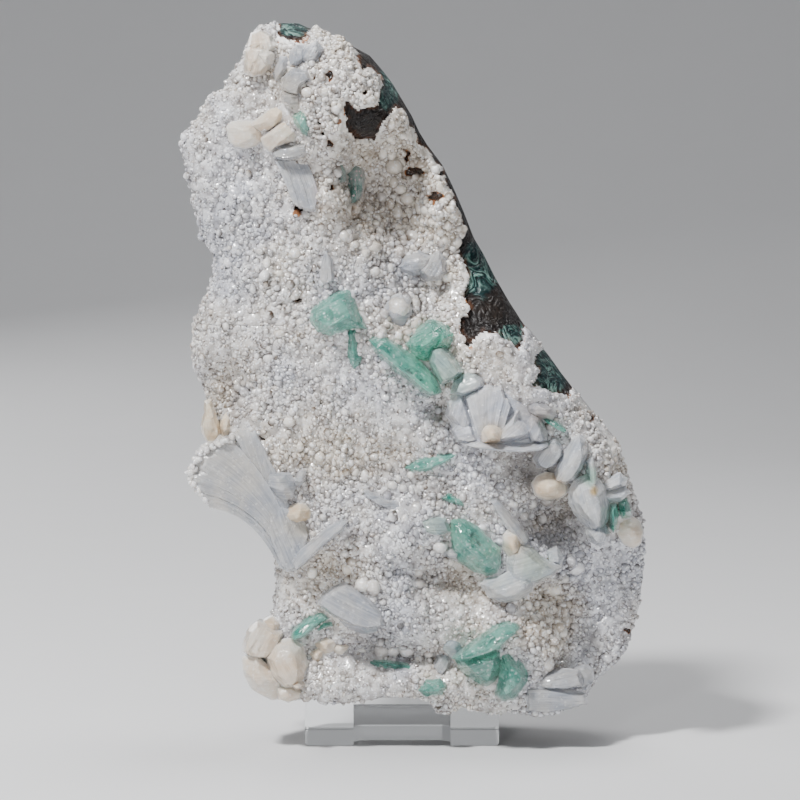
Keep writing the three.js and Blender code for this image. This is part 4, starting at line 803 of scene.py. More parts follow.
def rim_loop(rows, columns):
    """The grid's outer points in order: along the first row, up the last column, back and down."""
    grid = np.arange(rows * columns).reshape(rows, columns)
    return np.concatenate([grid[0, :-1], grid[:-1, -1], grid[-1, :0:-1], grid[:0:-1, 0]])


def normals_of(points, rows, columns):
    """Unit normals of a grid of points, from the cross product of its two directions."""
    grid = points.reshape(rows, columns, 3)
    across = np.gradient(grid, axis=1)
    up = np.gradient(grid, axis=0)
    n = np.cross(across, up)
    return (n / np.maximum(np.linalg.norm(n, axis=2, keepdims=True), 1e-9)).reshape(-1, 3)


def finish_piece(obj, material, slot, *nodes):
    """Give a piece its material and its place on the body, in place of the nodes that it covers."""
    obj.data.materials.append(material)
    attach(obj, "root")
    if nodes:
        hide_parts(*nodes)


class Nodes:
    """A short way to wire a material's nodes."""

    def __init__(self, name):
        self.material = bpy.data.materials.new(name)
        self.material.use_nodes = True
        self.tree = self.material.node_tree
        self.tree.nodes.clear()
        self.out = self.tree.nodes.new("ShaderNodeOutputMaterial")

    def put(self, socket, value):
        """Link a value to a socket or set it there, with full opacity added to a colour."""
        if isinstance(value, bpy.types.NodeSocket):
            self.tree.links.new(value, socket)
        elif socket.type == "RGBA" and len(value) == 3:
            socket.default_value = (*value, 1.0)
        else:
            socket.default_value = value

    def add(self, kind, links=None, **settings):
        node = self.tree.nodes.new(kind)
        for key, value in settings.items():
            setattr(node, key, value)
        for key, value in (links or {}).items():
            self.put(node.inputs[key], value)
        return node

    def object_coords(self):
        return self.add("ShaderNodeTexCoord").outputs["Object"]

    def attribute(self, name, output="Fac"):
        return self.add("ShaderNodeAttribute", attribute_name=name).outputs[output]

    def noise(self, vector, per_metre, detail=3.0, roughness=0.55, distortion=0.0):
        sockets = {"Vector": vector, "Scale": per_metre, "Detail": detail, "Roughness": roughness}
        sockets["Distortion"] = distortion
        return self.add("ShaderNodeTexNoise", sockets).outputs["Fac"]

    def cells(self, vector, per_metre, output="Distance"):
        return self.add("ShaderNodeTexVoronoi", {"Vector": vector, "Scale": per_metre}).outputs[output]

    def painted_glints(self, vector, per_metre, low, high, most=1.0):
        """Painted highlights: single cells picked out by their own random value."""
        value = self.add("ShaderNodeSeparateColor", {"Color": self.cells(vector, per_metre, "Color")})
        return self.between(value.outputs[0], low, high, 0.0, most)

    def ramp(self, value, stops):
        node = self.add("ShaderNodeValToRGB", {"Fac": value})
        ramp = node.color_ramp
        while len(ramp.elements) < len(stops):
            ramp.elements.new(0.5)
        for element, (place, colour) in zip(ramp.elements, stops):
            element.position = place
            element.color = (*colour, 1.0)
        return node.outputs["Color"]

    def between(self, value, low, high, start=0.0, end=1.0):
        """Grey that runs from start at the low value to end at the high one."""
        return self.ramp(value, [(low, (start,) * 3), (high, (end,) * 3)])

    def blend(self, factor, a, b, mode="MIX"):
        node = self.add("ShaderNodeMix", {0: factor}, data_type="RGBA", blend_type=mode)
        self.put(node.inputs[6], a)
        self.put(node.inputs[7], b)
        return node.outputs[2]

    def maths(self, operation, a, b=0.0):
        return self.add("ShaderNodeMath", {0: a, 1: b}, operation=operation).outputs["Value"]

    def times(self, a, b):
        return self.maths("MULTIPLY", a, b)

    def bump(self, height, distance_mm, strength=1.0, normal=None):
        links = {"Height": height, "Distance": distance_mm * MM, "Strength": strength}
        if normal is not None:
            links["Normal"] = normal
        return self.add("ShaderNodeBump", links).outputs["Normal"]

    def surface(self, **sockets):
        links = {key.replace("_", " "): value for key, value in sockets.items()}
        links["Subsurface Radius"] = (1.0, 0.8, 0.6)
        shader = self.add("ShaderNodeBsdfPrincipled", links)
        self.tree.links.new(shader.outputs["BSDF"], self.out.inputs["Surface"])
        return self.material


def crust_finish():
    """Milky, wet-looking grains: the height up a grain mixes the crevice's colour to white, which paints
    shade into the crevices, and the crevices are brown only in places. Painted highlights sit on the grain
    tops, darker places are partly stain and partly painted shade of hollows, and zones and single grains vary
    from cool to cream."""
    m = Nodes("drusy_crust")
    at = m.object_coords()
    tone = m.add("ShaderNodeSeparateColor", {"Color": m.attribute("tone", "Color")})
    height, tint, warm = tone.outputs[0], tone.outputs[1], tone.outputs[2]
    cool = m.blend(tint, (0.39, 0.40, 0.46), (0.89, 0.90, 0.95))
    cream = m.blend(tint, (0.55, 0.47, 0.38), (0.96, 0.91, 0.82))
    body = m.blend(warm, cool, cream)
    # Painted shade with brown stain: the crevice colour is dark grey, or dark brown in places
    pale = m.blend(warm, (0.12, 0.115, 0.12), (0.19, 0.14, 0.09))
    brown = m.blend(warm, (0.06, 0.045, 0.035), (0.09, 0.045, 0.02))
    ground = m.blend(m.between(m.noise(at, 260.0, 4.0), 0.48, 0.66), pale, brown)
    # Painted shade: low on a grain, towards the crevices, the colour runs down to the dark crevice colour
    lift = m.maths("SUBTRACT", m.maths("ADD", height, m.times(m.noise(at, 1900.0), 0.2)), 0.1)
    lift = m.ramp(lift, [(0.08, (0, 0, 0)), (0.35, (0.36, 0.36, 0.36)), (0.85, (1, 1, 1))])
    base = m.blend(lift, ground, body)
    # Painted highlights: bright single cells on the grain tops
    base = m.blend(m.times(m.painted_glints(at, 2300.0, 0.84, 0.88), height), base, (0.96, 0.97, 1.0))
    # Partly brown stain and partly painted shade of hollows and crevices
    stain_and_shade_colour = m.blend(warm, (0.17, 0.165, 0.17), (0.22, 0.17, 0.12))
    base = m.blend(m.times(m.attribute("stain_and_shade"), 0.8), base, stain_and_shade_colour)
    rust = m.maths("ADD", m.attribute("rust"), m.times(m.noise(at, 1200.0), 0.16))
    inside = m.ramp(rust, [(0.55, (0.42, 0.18, 0.06)), (0.72, (0.18, 0.065, 0.025)),
                           (0.86, (0.03, 0.016, 0.01))])
    base = m.blend(m.between(rust, 0.42, 0.55), base, inside)
    normal = m.bump(m.cells(at, 1700.0), 0.16, 0.6)
    normal = m.bump(m.noise(at, 1300.0), 0.14, 0.5, normal)
    rough = m.between(m.noise(at, 900.0), 0.38, 0.66, 0.1, 0.46)
    return m.surface(Base_Color=base, Roughness=rough, Normal=normal, Subsurface_Weight=0.1,
                     Subsurface_Scale=0.5 * MM, IOR=1.54, Coat_Weight=0.7, Coat_Roughness=0.08, Coat_IOR=1.8)


def basalt_finish():
    """Brown-black rock with fine pores, teal mineral skins and rust."""
    m = Nodes("basalt")
    at = m.object_coords()
    fine = m.noise(at, 900.0, 4.0, 0.6)
    base = m.ramp(m.noise(at, 110.0, 6.0, 0.62), [
        (0.3, (0.005, 0.005, 0.006)), (0.5, (0.012, 0.010, 0.010)), (0.64, (0.022, 0.016, 0.013)),
        (0.78, (0.06, 0.03, 0.017))])
    base = m.blend(m.times(fine, 0.06), base, (0.12, 0.10, 0.09))
    edge = m.maths("ADD", m.attribute("teal"), m.times(m.noise(at, 420.0, 4.0), 0.9))
    ribbons = m.maths("PINGPONG", m.times(m.noise(at, 190.0, 2.0, 0.5, 1.2), 9.0), 1.0)
    skin = m.ramp(ribbons, [(0.05, (0.002, 0.009, 0.011)), (0.3, (0.014, 0.044, 0.042)),
                            (0.62, (0.050, 0.12, 0.105)), (0.95, (0.20, 0.33, 0.29))])
    skin = m.blend(m.between(m.noise(at, 90.0), 0.42, 0.6, 0.0, 0.85), skin, (0.004, 0.018, 0.022))
    base = m.blend(m.between(m.times(edge, 0.6), 0.44, 0.54), base, skin)
    base = m.blend(m.times(m.attribute("rust"), m.noise(at, 350.0)), base, (0.2, 0.07, 0.022))
    normal = m.bump(m.noise(at, 240.0, 3.0, 0.5, 1.8), 0.9, 0.7)
    normal = m.bump(m.cells(at, 650.0), 0.4, 0.6, normal)
    normal = m.bump(ribbons, 0.5, 0.9, normal)
    rough = m.between(fine, 0.35, 0.7, 0.2, 0.6)
    return m.surface(Base_Color=base, Roughness=rough, Normal=normal, Specular_IOR_Level=0.28)


def streaks(m, across_per_mm, along_per_mm=0.08, detail=4.0):
    """Noise stretched along the grain of a crystal, whose map holds millimetres along and across it."""
    grain = m.add("ShaderNodeUVMap", uv_map="grain").outputs["UV"]
    mapped = m.add("ShaderNodeMapping", {"Vector": grain, "Scale": (along_per_mm, across_per_mm, 1.0)})
    return m.noise(mapped.outputs["Vector"], 1.0, detail, 0.6)


def apophyllite_finish():
    """Clear mint green with cloudy veils, white lines along the grain and a few dark inclusions."""
    m = Nodes("green_apophyllite")
    at = m.object_coords()
    veil = m.between(m.noise(at, 300.0, 5.0, 0.62), 0.38, 0.66)
    base = m.blend(veil, (0.035, 0.34, 0.26), (0.34, 0.74, 0.62))
    lines = m.between(streaks(m, 3.0), 0.56, 0.66)
    base = m.blend(m.times(lines, 0.4), base, (0.76, 0.97, 0.90))
    # Painted highlights: bright single cells over the green
    base = m.blend(m.painted_glints(at, 2000.0, 0.92, 0.94, 0.7), base, (0.86, 1.0, 0.96))
    base = m.blend(m.times(m.attribute("rim"), 0.5), base, (0.66, 0.93, 0.82))
    spots = m.between(m.noise(at, 900.0), 0.4, 0.55, 0.0, 0.85)
    base = m.blend(m.times(m.attribute("dark"), spots), base, (0.015, 0.06, 0.05))
    base = m.blend(1.0, base, m.attribute("tint", "Color"), "MULTIPLY")
    normal = m.bump(streaks(m, 2.2), 0.3, 0.8)
    normal = m.bump(m.cells(at, 420.0), 0.3, 0.7, normal)
    rough = m.between(m.noise(at, 420.0), 0.4, 0.7, 0.02, 0.16)
    return m.surface(Base_Color=base, Roughness=rough, Normal=normal, Transmission_Weight=0.55, IOR=1.54,
                     Coat_Weight=1.0, Coat_Roughness=0.03, Coat_IOR=1.6)


def heulandite_finish(name, low, high, streak, striped, glow, clear):
    """Pearly and milky, whiter at the rims, with lines along the grain and tints in places."""
    m = Nodes(name)
    at = m.object_coords()
    base = m.blend(m.between(m.noise(at, 170.0, 4.0), 0.38, 0.62), low, high)
    lines = m.between(streaks(m, 2.4), 0.46, 0.68)
    base = m.blend(m.times(lines, striped), base, streak)
    seams = m.between(streaks(m, 1.1, 0.05, 3.0), 0.34, 0.47, 1.0, 0.0)
    base = m.blend(m.times(seams, striped), base, tuple(0.6 * c for c in low))
    base = m.blend(m.times(m.attribute("rim"), 0.8), base, streak)
    # Painted highlights: bright single cells over the crystal
    base = m.blend(m.painted_glints(at, 2400.0, 0.95, 0.97, 0.4), base, (0.98, 0.98, 0.98))
    base = m.blend(1.0, base, m.attribute("tint", "Color"), "MULTIPLY")
    specks = m.between(m.noise(at, 1500.0), 0.70, 0.78, 0.0, 0.7)
    base = m.blend(specks, base, (0.36, 0.24, 0.15))
    normal = m.bump(streaks(m, 2.0), 0.25, 0.7)
    normal = m.bump(m.cells(at, 520.0), 0.3, 0.7, normal)
    rough = m.between(m.noise(at, 300.0), 0.35, 0.7, 0.06, 0.3)
    return m.surface(Base_Color=base, Roughness=rough, Normal=normal, Transmission_Weight=clear, IOR=1.5,
                     Subsurface_Weight=glow, Subsurface_Scale=1.0 * MM, Coat_Weight=0.7, Coat_Roughness=0.05)


def acrylic_finish():
    """Clear plastic, a little hazy, with faint smears."""
    m = Nodes("clear_acrylic")
    at = m.object_coords()
    return m.surface(Base_Color=(0.96, 0.975, 0.98), Roughness=m.times(m.noise(at, 60.0), 0.08),
                     Normal=m.bump(m.noise(at, 40.0), 0.05, 0.3), Transmission_Weight=1.0, IOR=1.49)


class RockSettings(bpy.types.PropertyGroup):
    columns: IntProperty(name="Columns", description="Cells round the rock", default=170, min=24)
    rows: IntProperty(name="Rows", description="Cells up the rock", default=190, min=24)


class CrustSettings(bpy.types.PropertyGroup):
    cell: FloatProperty(name="Cell", description="Cell of the crust's ground, in millimetres", default=0.41,
                        min=0.3)
    bead: FloatProperty(name="Beads", description="Size and spacing of the beads, as a share of the usual",
                        default=1.0, min=0.6)


class CrystalSettings(bpy.types.PropertyGroup):
    along: IntProperty(name="Steps along", description="Steps along the grain of a blade or fan",
                       default=24, min=6)
    across: IntProperty(name="Steps across", description="Steps across the grain of a blade or fan",
                        default=24, min=6)
    turns: IntProperty(name="Points round", description="Points round every other crystal", default=72,
                       min=12)
    rings: IntProperty(name="Rings", description="Rings from the middle of such a crystal to its girdle",
                       default=16, min=4)


class StageSettings(bpy.types.PropertyGroup):
    floor: FloatVectorProperty(name="Floor", description="Colour of the floor", default=(0.8, 0.8, 0.81),
                               subtype="COLOR")
    light: FloatProperty(name="Light", description="Strength of the soft light", default=1.0, min=0.0)


def rock_surface(columns, rows):
    """The rock as rings at rising heights. Round each ring a share from 0 to 1 runs over the front from
    left to right and from 1 to 2 back behind it. The front follows the crust's face a step behind, deeper
    where crust covers it, and the back is a flattened arch whose depth shrinks towards the top, roughened
    by noise."""
    v = np.linspace(0.0, 1.0, rows)[:, None]
    turn = np.linspace(0.0, 2.0, columns, endpoint=False)[None, :]
    z = mix(ROCK_FOOT, ROCK_TOP, v) + 0 * turn
    front = np.broadcast_to(turn < 1.0, z.shape)
    share = np.where(front, turn, 2.0 - turn)
    u = 0.5 - 0.5 * np.cos(np.pi * share)
    left, right = left_at(z) + ROCK_INSET, right_at(z) - ROCK_INSET
    x = mix(left, right, u)
    rim = mix(ROUNDING["left"][0], ROUNDING["right"][0], u)
    bare = bare_depth(x, z)
    depth = mix(CRUST + 1.0, BARE_STEP, smooth((bare + 1.6) / 0.8))
    fy = np.minimum(face_y(x, z) + depth, rim)
    height = (z - BACK_FOOT) / (ROCK_TOP - BACK_FOOT) - THICKEST
    above = np.sqrt(np.clip(1 - (height / (1.01 - THICKEST)) ** 3, 0, 1))
    thick = np.where(height < 0, 1 - 0.2 * (height / THICKEST) ** 2, above)
    arch = np.power(np.clip(1 - np.abs(2 * u - 1) ** 2.6, 0, 1), 1 / 2.2)
    by = rim + BACK_BULGE * arch * thick
    y = np.where(front, fy, by)
    points = np.column_stack([x.ravel(), y.ravel(), z.ravel()])
    rough = 1.5 * lattice_noise(points, 13.0, 21) + 0.8 * lattice_noise(points, 5.0, 22)
    rough += 0.35 * lattice_noise(points, 2.0, 23) + 0.2 * lattice_noise(points, 0.9, 24)
    held = np.where(front, smooth(bare + 0.5) * 0.5, arch ** 0.5).ravel()
    points[:, 1] += rough * held
    return points, bare.ravel(), front.ravel()


class SPECIMEN_OT_rock(bpy.types.Operator):
    """Build the dark rock with its bare patches and broken back"""
    bl_idname = "specimen.rock"
    bl_label = "Rock"

    def execute(self, context):
        settings = context.scene.specimen_rock
        columns, rows = settings.columns, settings.rows
        points, bare, front = rock_surface(columns, rows)
        quads = grid_quads(rows, columns, wrap=True)
        last = (rows - 1) * columns
        foot_middle = len(points)
        top_middle = foot_middle + 1
        middles = [points[:columns].mean(axis=0), points[last:].mean(axis=0)]
        middles[0][2] = ROCK_FOOT
        points = np.vstack([points, middles])
        i = np.arange(columns)
        k = (i + 1) % columns
        foot = np.column_stack([k, i, np.full(columns, foot_middle)])
        top = np.column_stack([last + i, last + k, np.full(columns, top_middle)])
        x, z = points[:, 0], points[:, 2]
        teal = np.zeros(len(points))
        for skin in TEAL:
            teal = np.maximum(teal, 1.25 - ellipse_reach(x, z, *skin))
        teal[:-2] *= front
        teal += 0.25 * lattice_noise(points, 9.0, 31)
        rust = np.zeros(len(points))
        rust[:-2] = front * smooth(1.0 - np.abs(bare - 0.15) / 0.5) * 0.8
        layers = {"teal": np.clip(teal, 0, 1), "rust": rust}
        obj = make_mesh("basalt_rock", points, [quads, foot, top], layers)
        finish_piece(obj, basalt_finish(), "basalt", "basalt_matrix")
        return {"FINISHED"}


def border_steps(u, v, across, up):
    """Steps in from the border of a grid, with so many steps to the whole width and height."""
    return np.minimum(np.minimum(u, 1 - u) * across, np.minimum(v, 1 - v) * up)


def crust_band(cell, low, high, width):
    """One band of the crust's ground between two shares of its height: a front grid that follows the face
    with its lumps and grains and dips into the pits, and a coarser back behind it. Cells in the bare
    patches are left out of both, and walls join the two round every edge. Returns the points, the faces,
    the rows and columns, which cells are kept, the share of rust, the height up the grains and the share of
    smooth white."""
    columns, rows = int(CRUST_WIDE * width / cell), int(CRUST_TALL * (high - low) / cell)
    v, u = np.meshgrid(np.linspace(low, high, rows), np.linspace(0, 1, columns), indexing="ij")
    x, z = face_place(u, v)
    x, z = MIDDLE[0] + (x - MIDDLE[0]) * EDGE_SHARE, MIDDLE[1] + (z - MIDDLE[1]) * EDGE_SHARE
    bare, pit = bare_depth(x, z), pit_depth(x, z)
    y = face_y(x, z) - lumps(x, z) + 0.8 * smooth((bare + 1.2) / 1.2) + 1.8 * pit
    front = np.column_stack([x.ravel(), y.ravel(), z.ravel()])
    rise, share = grains(x, z, bead_size(x, z))
    rim = smooth(border_steps(u, v, 70, 160))
    white = enamel(x, z, bare)
    rise = rise * mix(0.35, 1.0, rim) * (1 - 0.7 * pit) * (1 - 0.72 * white)
    normals = normals_of(front, rows, columns)
    back = front.copy()
    back[:, 1] += CRUST - 0.4 * smooth(border_steps(u, v, 100, 160) / 6).ravel()
    back[:, 0] = MIDDLE[0] + (back[:, 0] - MIDDLE[0]) * mix(0.97, 1.0, rim.ravel())
    front = front + normals * rise.ravel()[:, None]
    kept = (bare[:-1, :-1] + bare[1:, :-1] + bare[:-1, 1:] + bare[1:, 1:]) < 0
    n = rows * columns
    grid = np.arange(n).reshape(rows, columns)
    j, i = np.divmod(np.arange(n), columns)
    stand_in = (j // BACK_STEP * BACK_STEP) * columns + i // BACK_STEP * BACK_STEP + n
    cells = grid_quads(rows, columns)[kept.ravel()]
    behind = stand_in[cells]
    triangles = [behind[:, [0, 2, 1]], behind[:, [0, 3, 2]]]
    padded = np.pad(kept, 1)
    for row_step, column_step, start, end in ((-1, 0, (0, 0), (0, 1)), (0, 1, (0, 1), (1, 1)),
                                              (1, 0, (1, 1), (1, 0)), (0, -1, (1, 0), (0, 0))):
        open_side = kept & ~padded[1 + row_step:rows + row_step, 1 + column_step:columns + column_step]
        j, i = np.nonzero(open_side)
        a, b = grid[j + start[0], i + start[1]], grid[j + end[0], i + end[1]]
        triangles += [np.column_stack([b, a, stand_in[a]]), np.column_stack([b, stand_in[a], stand_in[b]])]
    triangles = np.vstack(triangles)
    real = (triangles != np.roll(triangles, 1, axis=1)).all(axis=1)
    triangles = triangles[real]
    used, renumbered = np.unique(np.concatenate([cells.ravel(), triangles.ravel()]), return_inverse=True)
    faces = [renumbered[:cells.size].reshape(-1, 4), renumbered[cells.size:].reshape(-1, 3)]
    edge = 0.52 * smooth(1.0 - np.abs(bare + 0.1) / 0.35) * (1.0 + 0.5 * plane_noise(x, z, 2.2, 18))
    rust = np.maximum(np.maximum(pit, edge), rust_patches(x, z)).ravel()
    rust = np.concatenate([rust, rust])[used]
    share = np.concatenate([mix(0.78 * share, 1.0, white).ravel(), np.zeros(n)])[used]
    white = np.concatenate([white.ravel(), np.zeros(n)])[used]
    return np.vstack([front, back])[used], faces, (front, rows, columns, kept), rust, share, white


def enamel(x, z, bare):
    """Where the crust is smooth and white: along the silhouette of the right shoulder and round the bare
    patches."""
    shoulder = smooth((4.0 + 1.5 * plane_noise(x, z, 6.0, 19) - (right_at(z) - x)) / 2.0)
    shoulder = shoulder * smooth((z - 68) / 6) * smooth((97 - z) / 6)
    return np.maximum(0.6 * shoulder, smooth((bare + 1.3 + plane_noise(x, z, 3.0, 20)) / 1.2))


def warmth(x, z):
    """How cream rather than cool the crust is: broad noise, warmer over the top lobe and the vug and cooler
    in the bowl at the lower right and along the left."""
    w = 0.42 + 0.4 * plane_noise(x, z, 15.0, 41) + 0.25 * plane_noise(x, z, 5.0, 42)
    for *zone, gain in ZONES_OF_WARMTH:
        w = w + gain * hill(x, z, *zone)
    return np.clip(w, 0, 1)


def bead_size(x, z):
    """Size of the beads as a share of the usual: noise over places a few millimetres across, larger in the
    vug and along the ridge at the lower right and finer in the two bands of fine druse."""
    size = 1.0 + 0.18 * plane_noise(x, z, 9.0, 52) + 0.12 * plane_noise(x, z, 3.5, 53)
    for *zone, gain in ZONES_OF_SIZE:
        size = size + gain * hill(x, z, *zone)
    return np.clip(size, 0.6, 2.0)


def bead_mesh(name, centres, axes, radii, stretch, shades, sides, rings, rng, material, foot=0.0):
    """Many closed beads as one mesh: each is a dome of rings round its own axis, from its widest ring inside
    the ground to its tip, with each point moved a little in or out. The tone rises from the foot's value to 1
    on the tip, so the crust's material paints shade at each bead's foot."""
    count = len(centres)
    angle = np.linspace(0, 2 * np.pi, sides, endpoint=False)
    helper = np.where(np.abs(axes[:, 2:3]) < 0.8, [[0.0, 0.0, 1.0]], [[1.0, 0.0, 0.0]])
    side_a = unit(np.cross(axes, helper))
    side_b = np.cross(axes, side_a)
    spin = rng.uniform(0, 2 * np.pi, (count, 1))
    oval = rng.uniform(0.84, 1.19, (count, 1, 1))
    latitudes = np.linspace(-0.12, 0.5, rings + 1)[:-1] * np.pi
    parts = []
    for latitude in latitudes:
        jitter = rng.uniform(0.9, 1.1, (count, sides, 1))
        c = np.cos(angle[None, :] + spin)[:, :, None] * oval
        s = np.sin(angle[None, :] + spin)[:, :, None] / oval
        wide = (math.cos(latitude) * radii)[:, None, None]
        lift = (math.sin(latitude) * radii * stretch)[:, None, None]
        ring = (side_a[:, None] * c + side_b[:, None] * s) * wide * jitter
        parts.append(centres[:, None] + ring + axes[:, None] * lift)
    tips = [centres + axes * (h * radii * stretch)[:, None] for h in (1.0, -0.7)]
    points = np.concatenate(parts + [t[:, None] for t in tips], axis=1)
    per = rings * sides + 2
    i = np.arange(sides)
    k = (i + 1) % sides
    quads = grid_quads(rings, sides, wrap=True)
    last = (rings - 1) * sides
    caps = np.concatenate([np.column_stack([i + last, k + last, np.full(sides, per - 2)]),
                           np.column_stack([k, i, np.full(sides, per - 1)])])
    offsets = (np.arange(count) * per)[:, None, None]
    heights = np.concatenate([np.repeat(np.sin(np.clip(latitudes, 0, None)), sides), [1.0, 0.0]])
    tone = np.empty((count, per, 3))
    # Painted shade: the first channel is low at a bead's foot, where the crust's material darkens the colour
    tone[:, :, 0] = mix(foot, 1.0, heights[None])
    tone[:, :, 1:] = shades[:, None]
    flat = points.reshape(-1, 3)
    stain_and_shade = np.repeat(stain_and_hollow_shade(centres[:, 0], centres[:, 2]), per)
    faces = [(quads[None] + offsets).reshape(-1, 4), (caps[None] + offsets).reshape(-1, 3)]
    layers = {"tone": tone.reshape(-1, 3), "rust": np.zeros(len(flat)), "stain_and_shade": stain_and_shade}
    obj = make_mesh(name, flat, faces, layers)
    finish_piece(obj, material, "white_crust")


def ground_places(front, rows, columns, kept, spacing, rng):
    """Places for beads over the ground, on rows in the grid's own two directions spaced evenly along the
    surface, with every second row shifted and each place moved a little. Returns points, axes and cells."""
    grid = front.reshape(rows, columns, 3)
    across = np.linalg.norm(np.diff(grid, axis=1), axis=2).mean(axis=0)
    up = np.linalg.norm(np.diff(grid, axis=0), axis=2).mean(axis=1)

    def evenly(steps, gap):
        so_far = np.append(0, np.cumsum(steps))
        return np.interp(np.arange(0, steps.sum(), gap), so_far, np.arange(len(so_far)))

    i_at, j_at = evenly(across, spacing), evenly(up, ROW_SPACING * spacing)
    j, i = np.meshgrid(j_at, i_at, indexing="ij")
    i = i + 0.5 * (np.arange(len(j_at)) % 2)[:, None] * np.gradient(i_at)[None]
    i = i + rng.uniform(-0.38, 0.38, i.shape) * spacing / across.mean()
    j = j + rng.uniform(-0.38, 0.38, j.shape) * spacing / up.mean()
    i, j = np.clip(i, 0, columns - 1.001).ravel(), np.clip(j, 0, rows - 1.001).ravel()
    a, b = np.floor(i).astype(int), np.floor(j).astype(int)
    s, t = (i - a)[:, None], (j - b)[:, None]
    normals = normals_of(front, rows, columns).reshape(rows, columns, 3)

    def read(values):
        return mix(mix(values[b, a], values[b, a + 1], s), mix(values[b + 1, a], values[b + 1, a + 1], s), t)

    return read(grid), read(normals), kept[b, a]


def covered(x, z, margin):
    """True where a crystal stands over the crust, by more than the margin inside its outline."""
    inside = np.zeros(np.shape(x), bool)
    for crystals in CRYSTALS.values():
        for crystal in crystals:
            inside |= outline_distance(outline_of(crystal), x, z) > margin
    return inside


class SPECIMEN_OT_crust(bpy.types.Operator):
    """Build the white crust's ground and its beads"""
    bl_idname = "specimen.crust"
    bl_label = "Crust"

    def execute(self, context):
        settings = context.scene.specimen_crust
        rng = np.random.default_rng(SEED)
        material = crust_finish()
        bands = []
        for number, (low, high, width) in enumerate(BANDS):
            points, faces, band, rust, share, white = crust_band(settings.cell, low, high, width)
            x, z = points[:, 0], points[:, 2]
            tint = mix(0.5 + 0.5 * plane_noise(x, z, 1.6, 85), 1.0, 0.8 * white)
            tone = np.column_stack([share, tint, warmth(x, z)])
            layers = {"tone": tone, "rust": rust, "stain_and_shade": stain_and_hollow_shade(x, z)}
            ground = make_mesh(f"crust_ground_{number + 1}", points, faces, layers)
            finish_piece(ground, material, "white_crust", *(["white_crust"] if number == 0 else []))
            bands.append(band)
        for label, spacing, radius, sides, rings, share in BEADS:
            found = [ground_places(*band, spacing * settings.bead, rng) for band in bands]
            places, axes, on_crust = (np.concatenate(parts) for parts in zip(*found))
            x, z = places[:, 0], places[:, 2]
            size = bead_size(x, z)
            bare = bare_depth(x, z)
            keep = on_crust & (bare < -0.35) & (pit_depth(x, z) < 0.3) & ~covered(x, z, CRYSTAL_MARGIN)
            keep &= rng.uniform(0, 1, len(x)) < share * size ** 3 * (1 - enamel(x, z, bare))
            places, axes, size = places[keep], axes[keep], size[keep]
            count = len(places)
            axes = unit(axes + rng.normal(0, 0.28, axes.shape))
            radii = radius * mix(0.72, 1.36, rng.uniform(0, 1, count) ** 1.5) * size * settings.bead
            stretch = rng.uniform(0.8, 1.5, count)
            warm = np.clip(warmth(places[:, 0], places[:, 2]) + rng.normal(0, 0.13, count), 0, 1)
            shades = np.column_stack([rng.uniform(0, 1, count), warm])
            centres = places - axes * (radii * BEAD_SINK)[:, None]
            pieces = max(1, math.ceil(count * 2 * rings * sides / PIECE_TRIANGLES))
            for number, group in enumerate(np.array_split(np.argsort(places[:, 2], kind="stable"), pieces)):
                beads = [values[group] for values in (centres, axes, radii, stretch, shades)]
                bead_mesh(f"crust_{label}_{number + 1}", *beads, sides, rings, rng, material)
        x, z, radii = np.array(PEARLS).T
        lift = face_y(x, z) - lumps(x, z)
        places = np.column_stack([x, lift - 0.35 * radii, z])
        axes = towards_viewer(rng, 0, 0.1, len(x))
        shades = np.column_stack([rng.uniform(0.5, 1, len(x)), np.clip(warmth(x, z) + 0.25, 0, 1)])
        bead_mesh("crust_pearls", places, axes, radii, rng.uniform(0.95, 1.25, len(x)), shades, PEARL_SIDES,
                  PEARL_RINGS, rng, material, PEARL_FOOT_SHADE)
        x, z = np.tile(spread(SHEAF_RIM, np.linspace(0, 1, RIM_BEADS)).T, len(RIM_ROWS))
        count = len(x)
        x, z = x + rng.normal(0, 0.35, count), z + rng.normal(0, 0.35, count)
        before = np.repeat(RIM_ROWS, RIM_BEADS) + rng.normal(0, 0.25, count)
        places = np.column_stack([x, place_of(SHEAF_SEAT) - before, z])
        axes = towards_viewer(rng, -0.5, 0.1, count)
        shades = np.column_stack([rng.uniform(0.6, 1, count), rng.uniform(0.3, 0.8, count)])
        radii, stretch = rng.uniform(0.5, 1.05, count), rng.uniform(0.9, 1.3, count)
        bead_mesh("sheaf_rim", places, axes, radii, stretch, shades, RIM_SIDES, RIM_RINGS, rng, material,
                  PEARL_FOOT_SHADE)
        return {"FINISHED"}


# Cross sections of a crystal from one side to the other, as (share of the width, share of the rise)
BLADE = ((0, 0.28), (0.16, 0.7), (0.3, 0.84), (0.58, 1.0), (0.74, 0.96), (0.9, 0.62), (1, 0.28))
# Flats round a rounded crystal, how far the edges between them are softened in millimetres, and the least
# and the most height of a flat over the middle, as shares of the rise
FLATS = {"ball": (9, 0.8, 1.1, 1.35), "nugget": (7, 0.06, 1.05, 1.4)}
# Slope of the bevel along the border of a flat-faced crystal, the tilt of its flats as shares of the rise,
# and the bevel's foot
BEVELS = {"plate": (2.2, 4.5), "gem": (1.1, 2.4)}
PLATE_TILT = (0.1, 0.42)
BEVEL_FOOT = 0.3
# Degrees from which an edge between two flats is sharp
SHARP_FROM = 24
# Share of its outline that a crystal's root keeps, how much of its lean the root takes, and how far a
# blade's grid stays off the tips of its sides
ROOT_SHARE = 0.8
BALL_ROOT_SHARE = 0.82
ROOT_LEAN = 0.6
TIP_GAP = 0.02
# Fall of the height towards the two ends of the grain
ENDS = ((0, 0.42), (0.05, 0.74), (0.2, 0.97), (0.5, 1.0), (0.88, 0.94), (0.96, 0.72), (1, 0.4))
FAN_ENDS = ((0, 0.5), (0.2, 0.8), (0.6, 1.0), (0.93, 1.0), (0.98, 0.8), (1, 0.38))
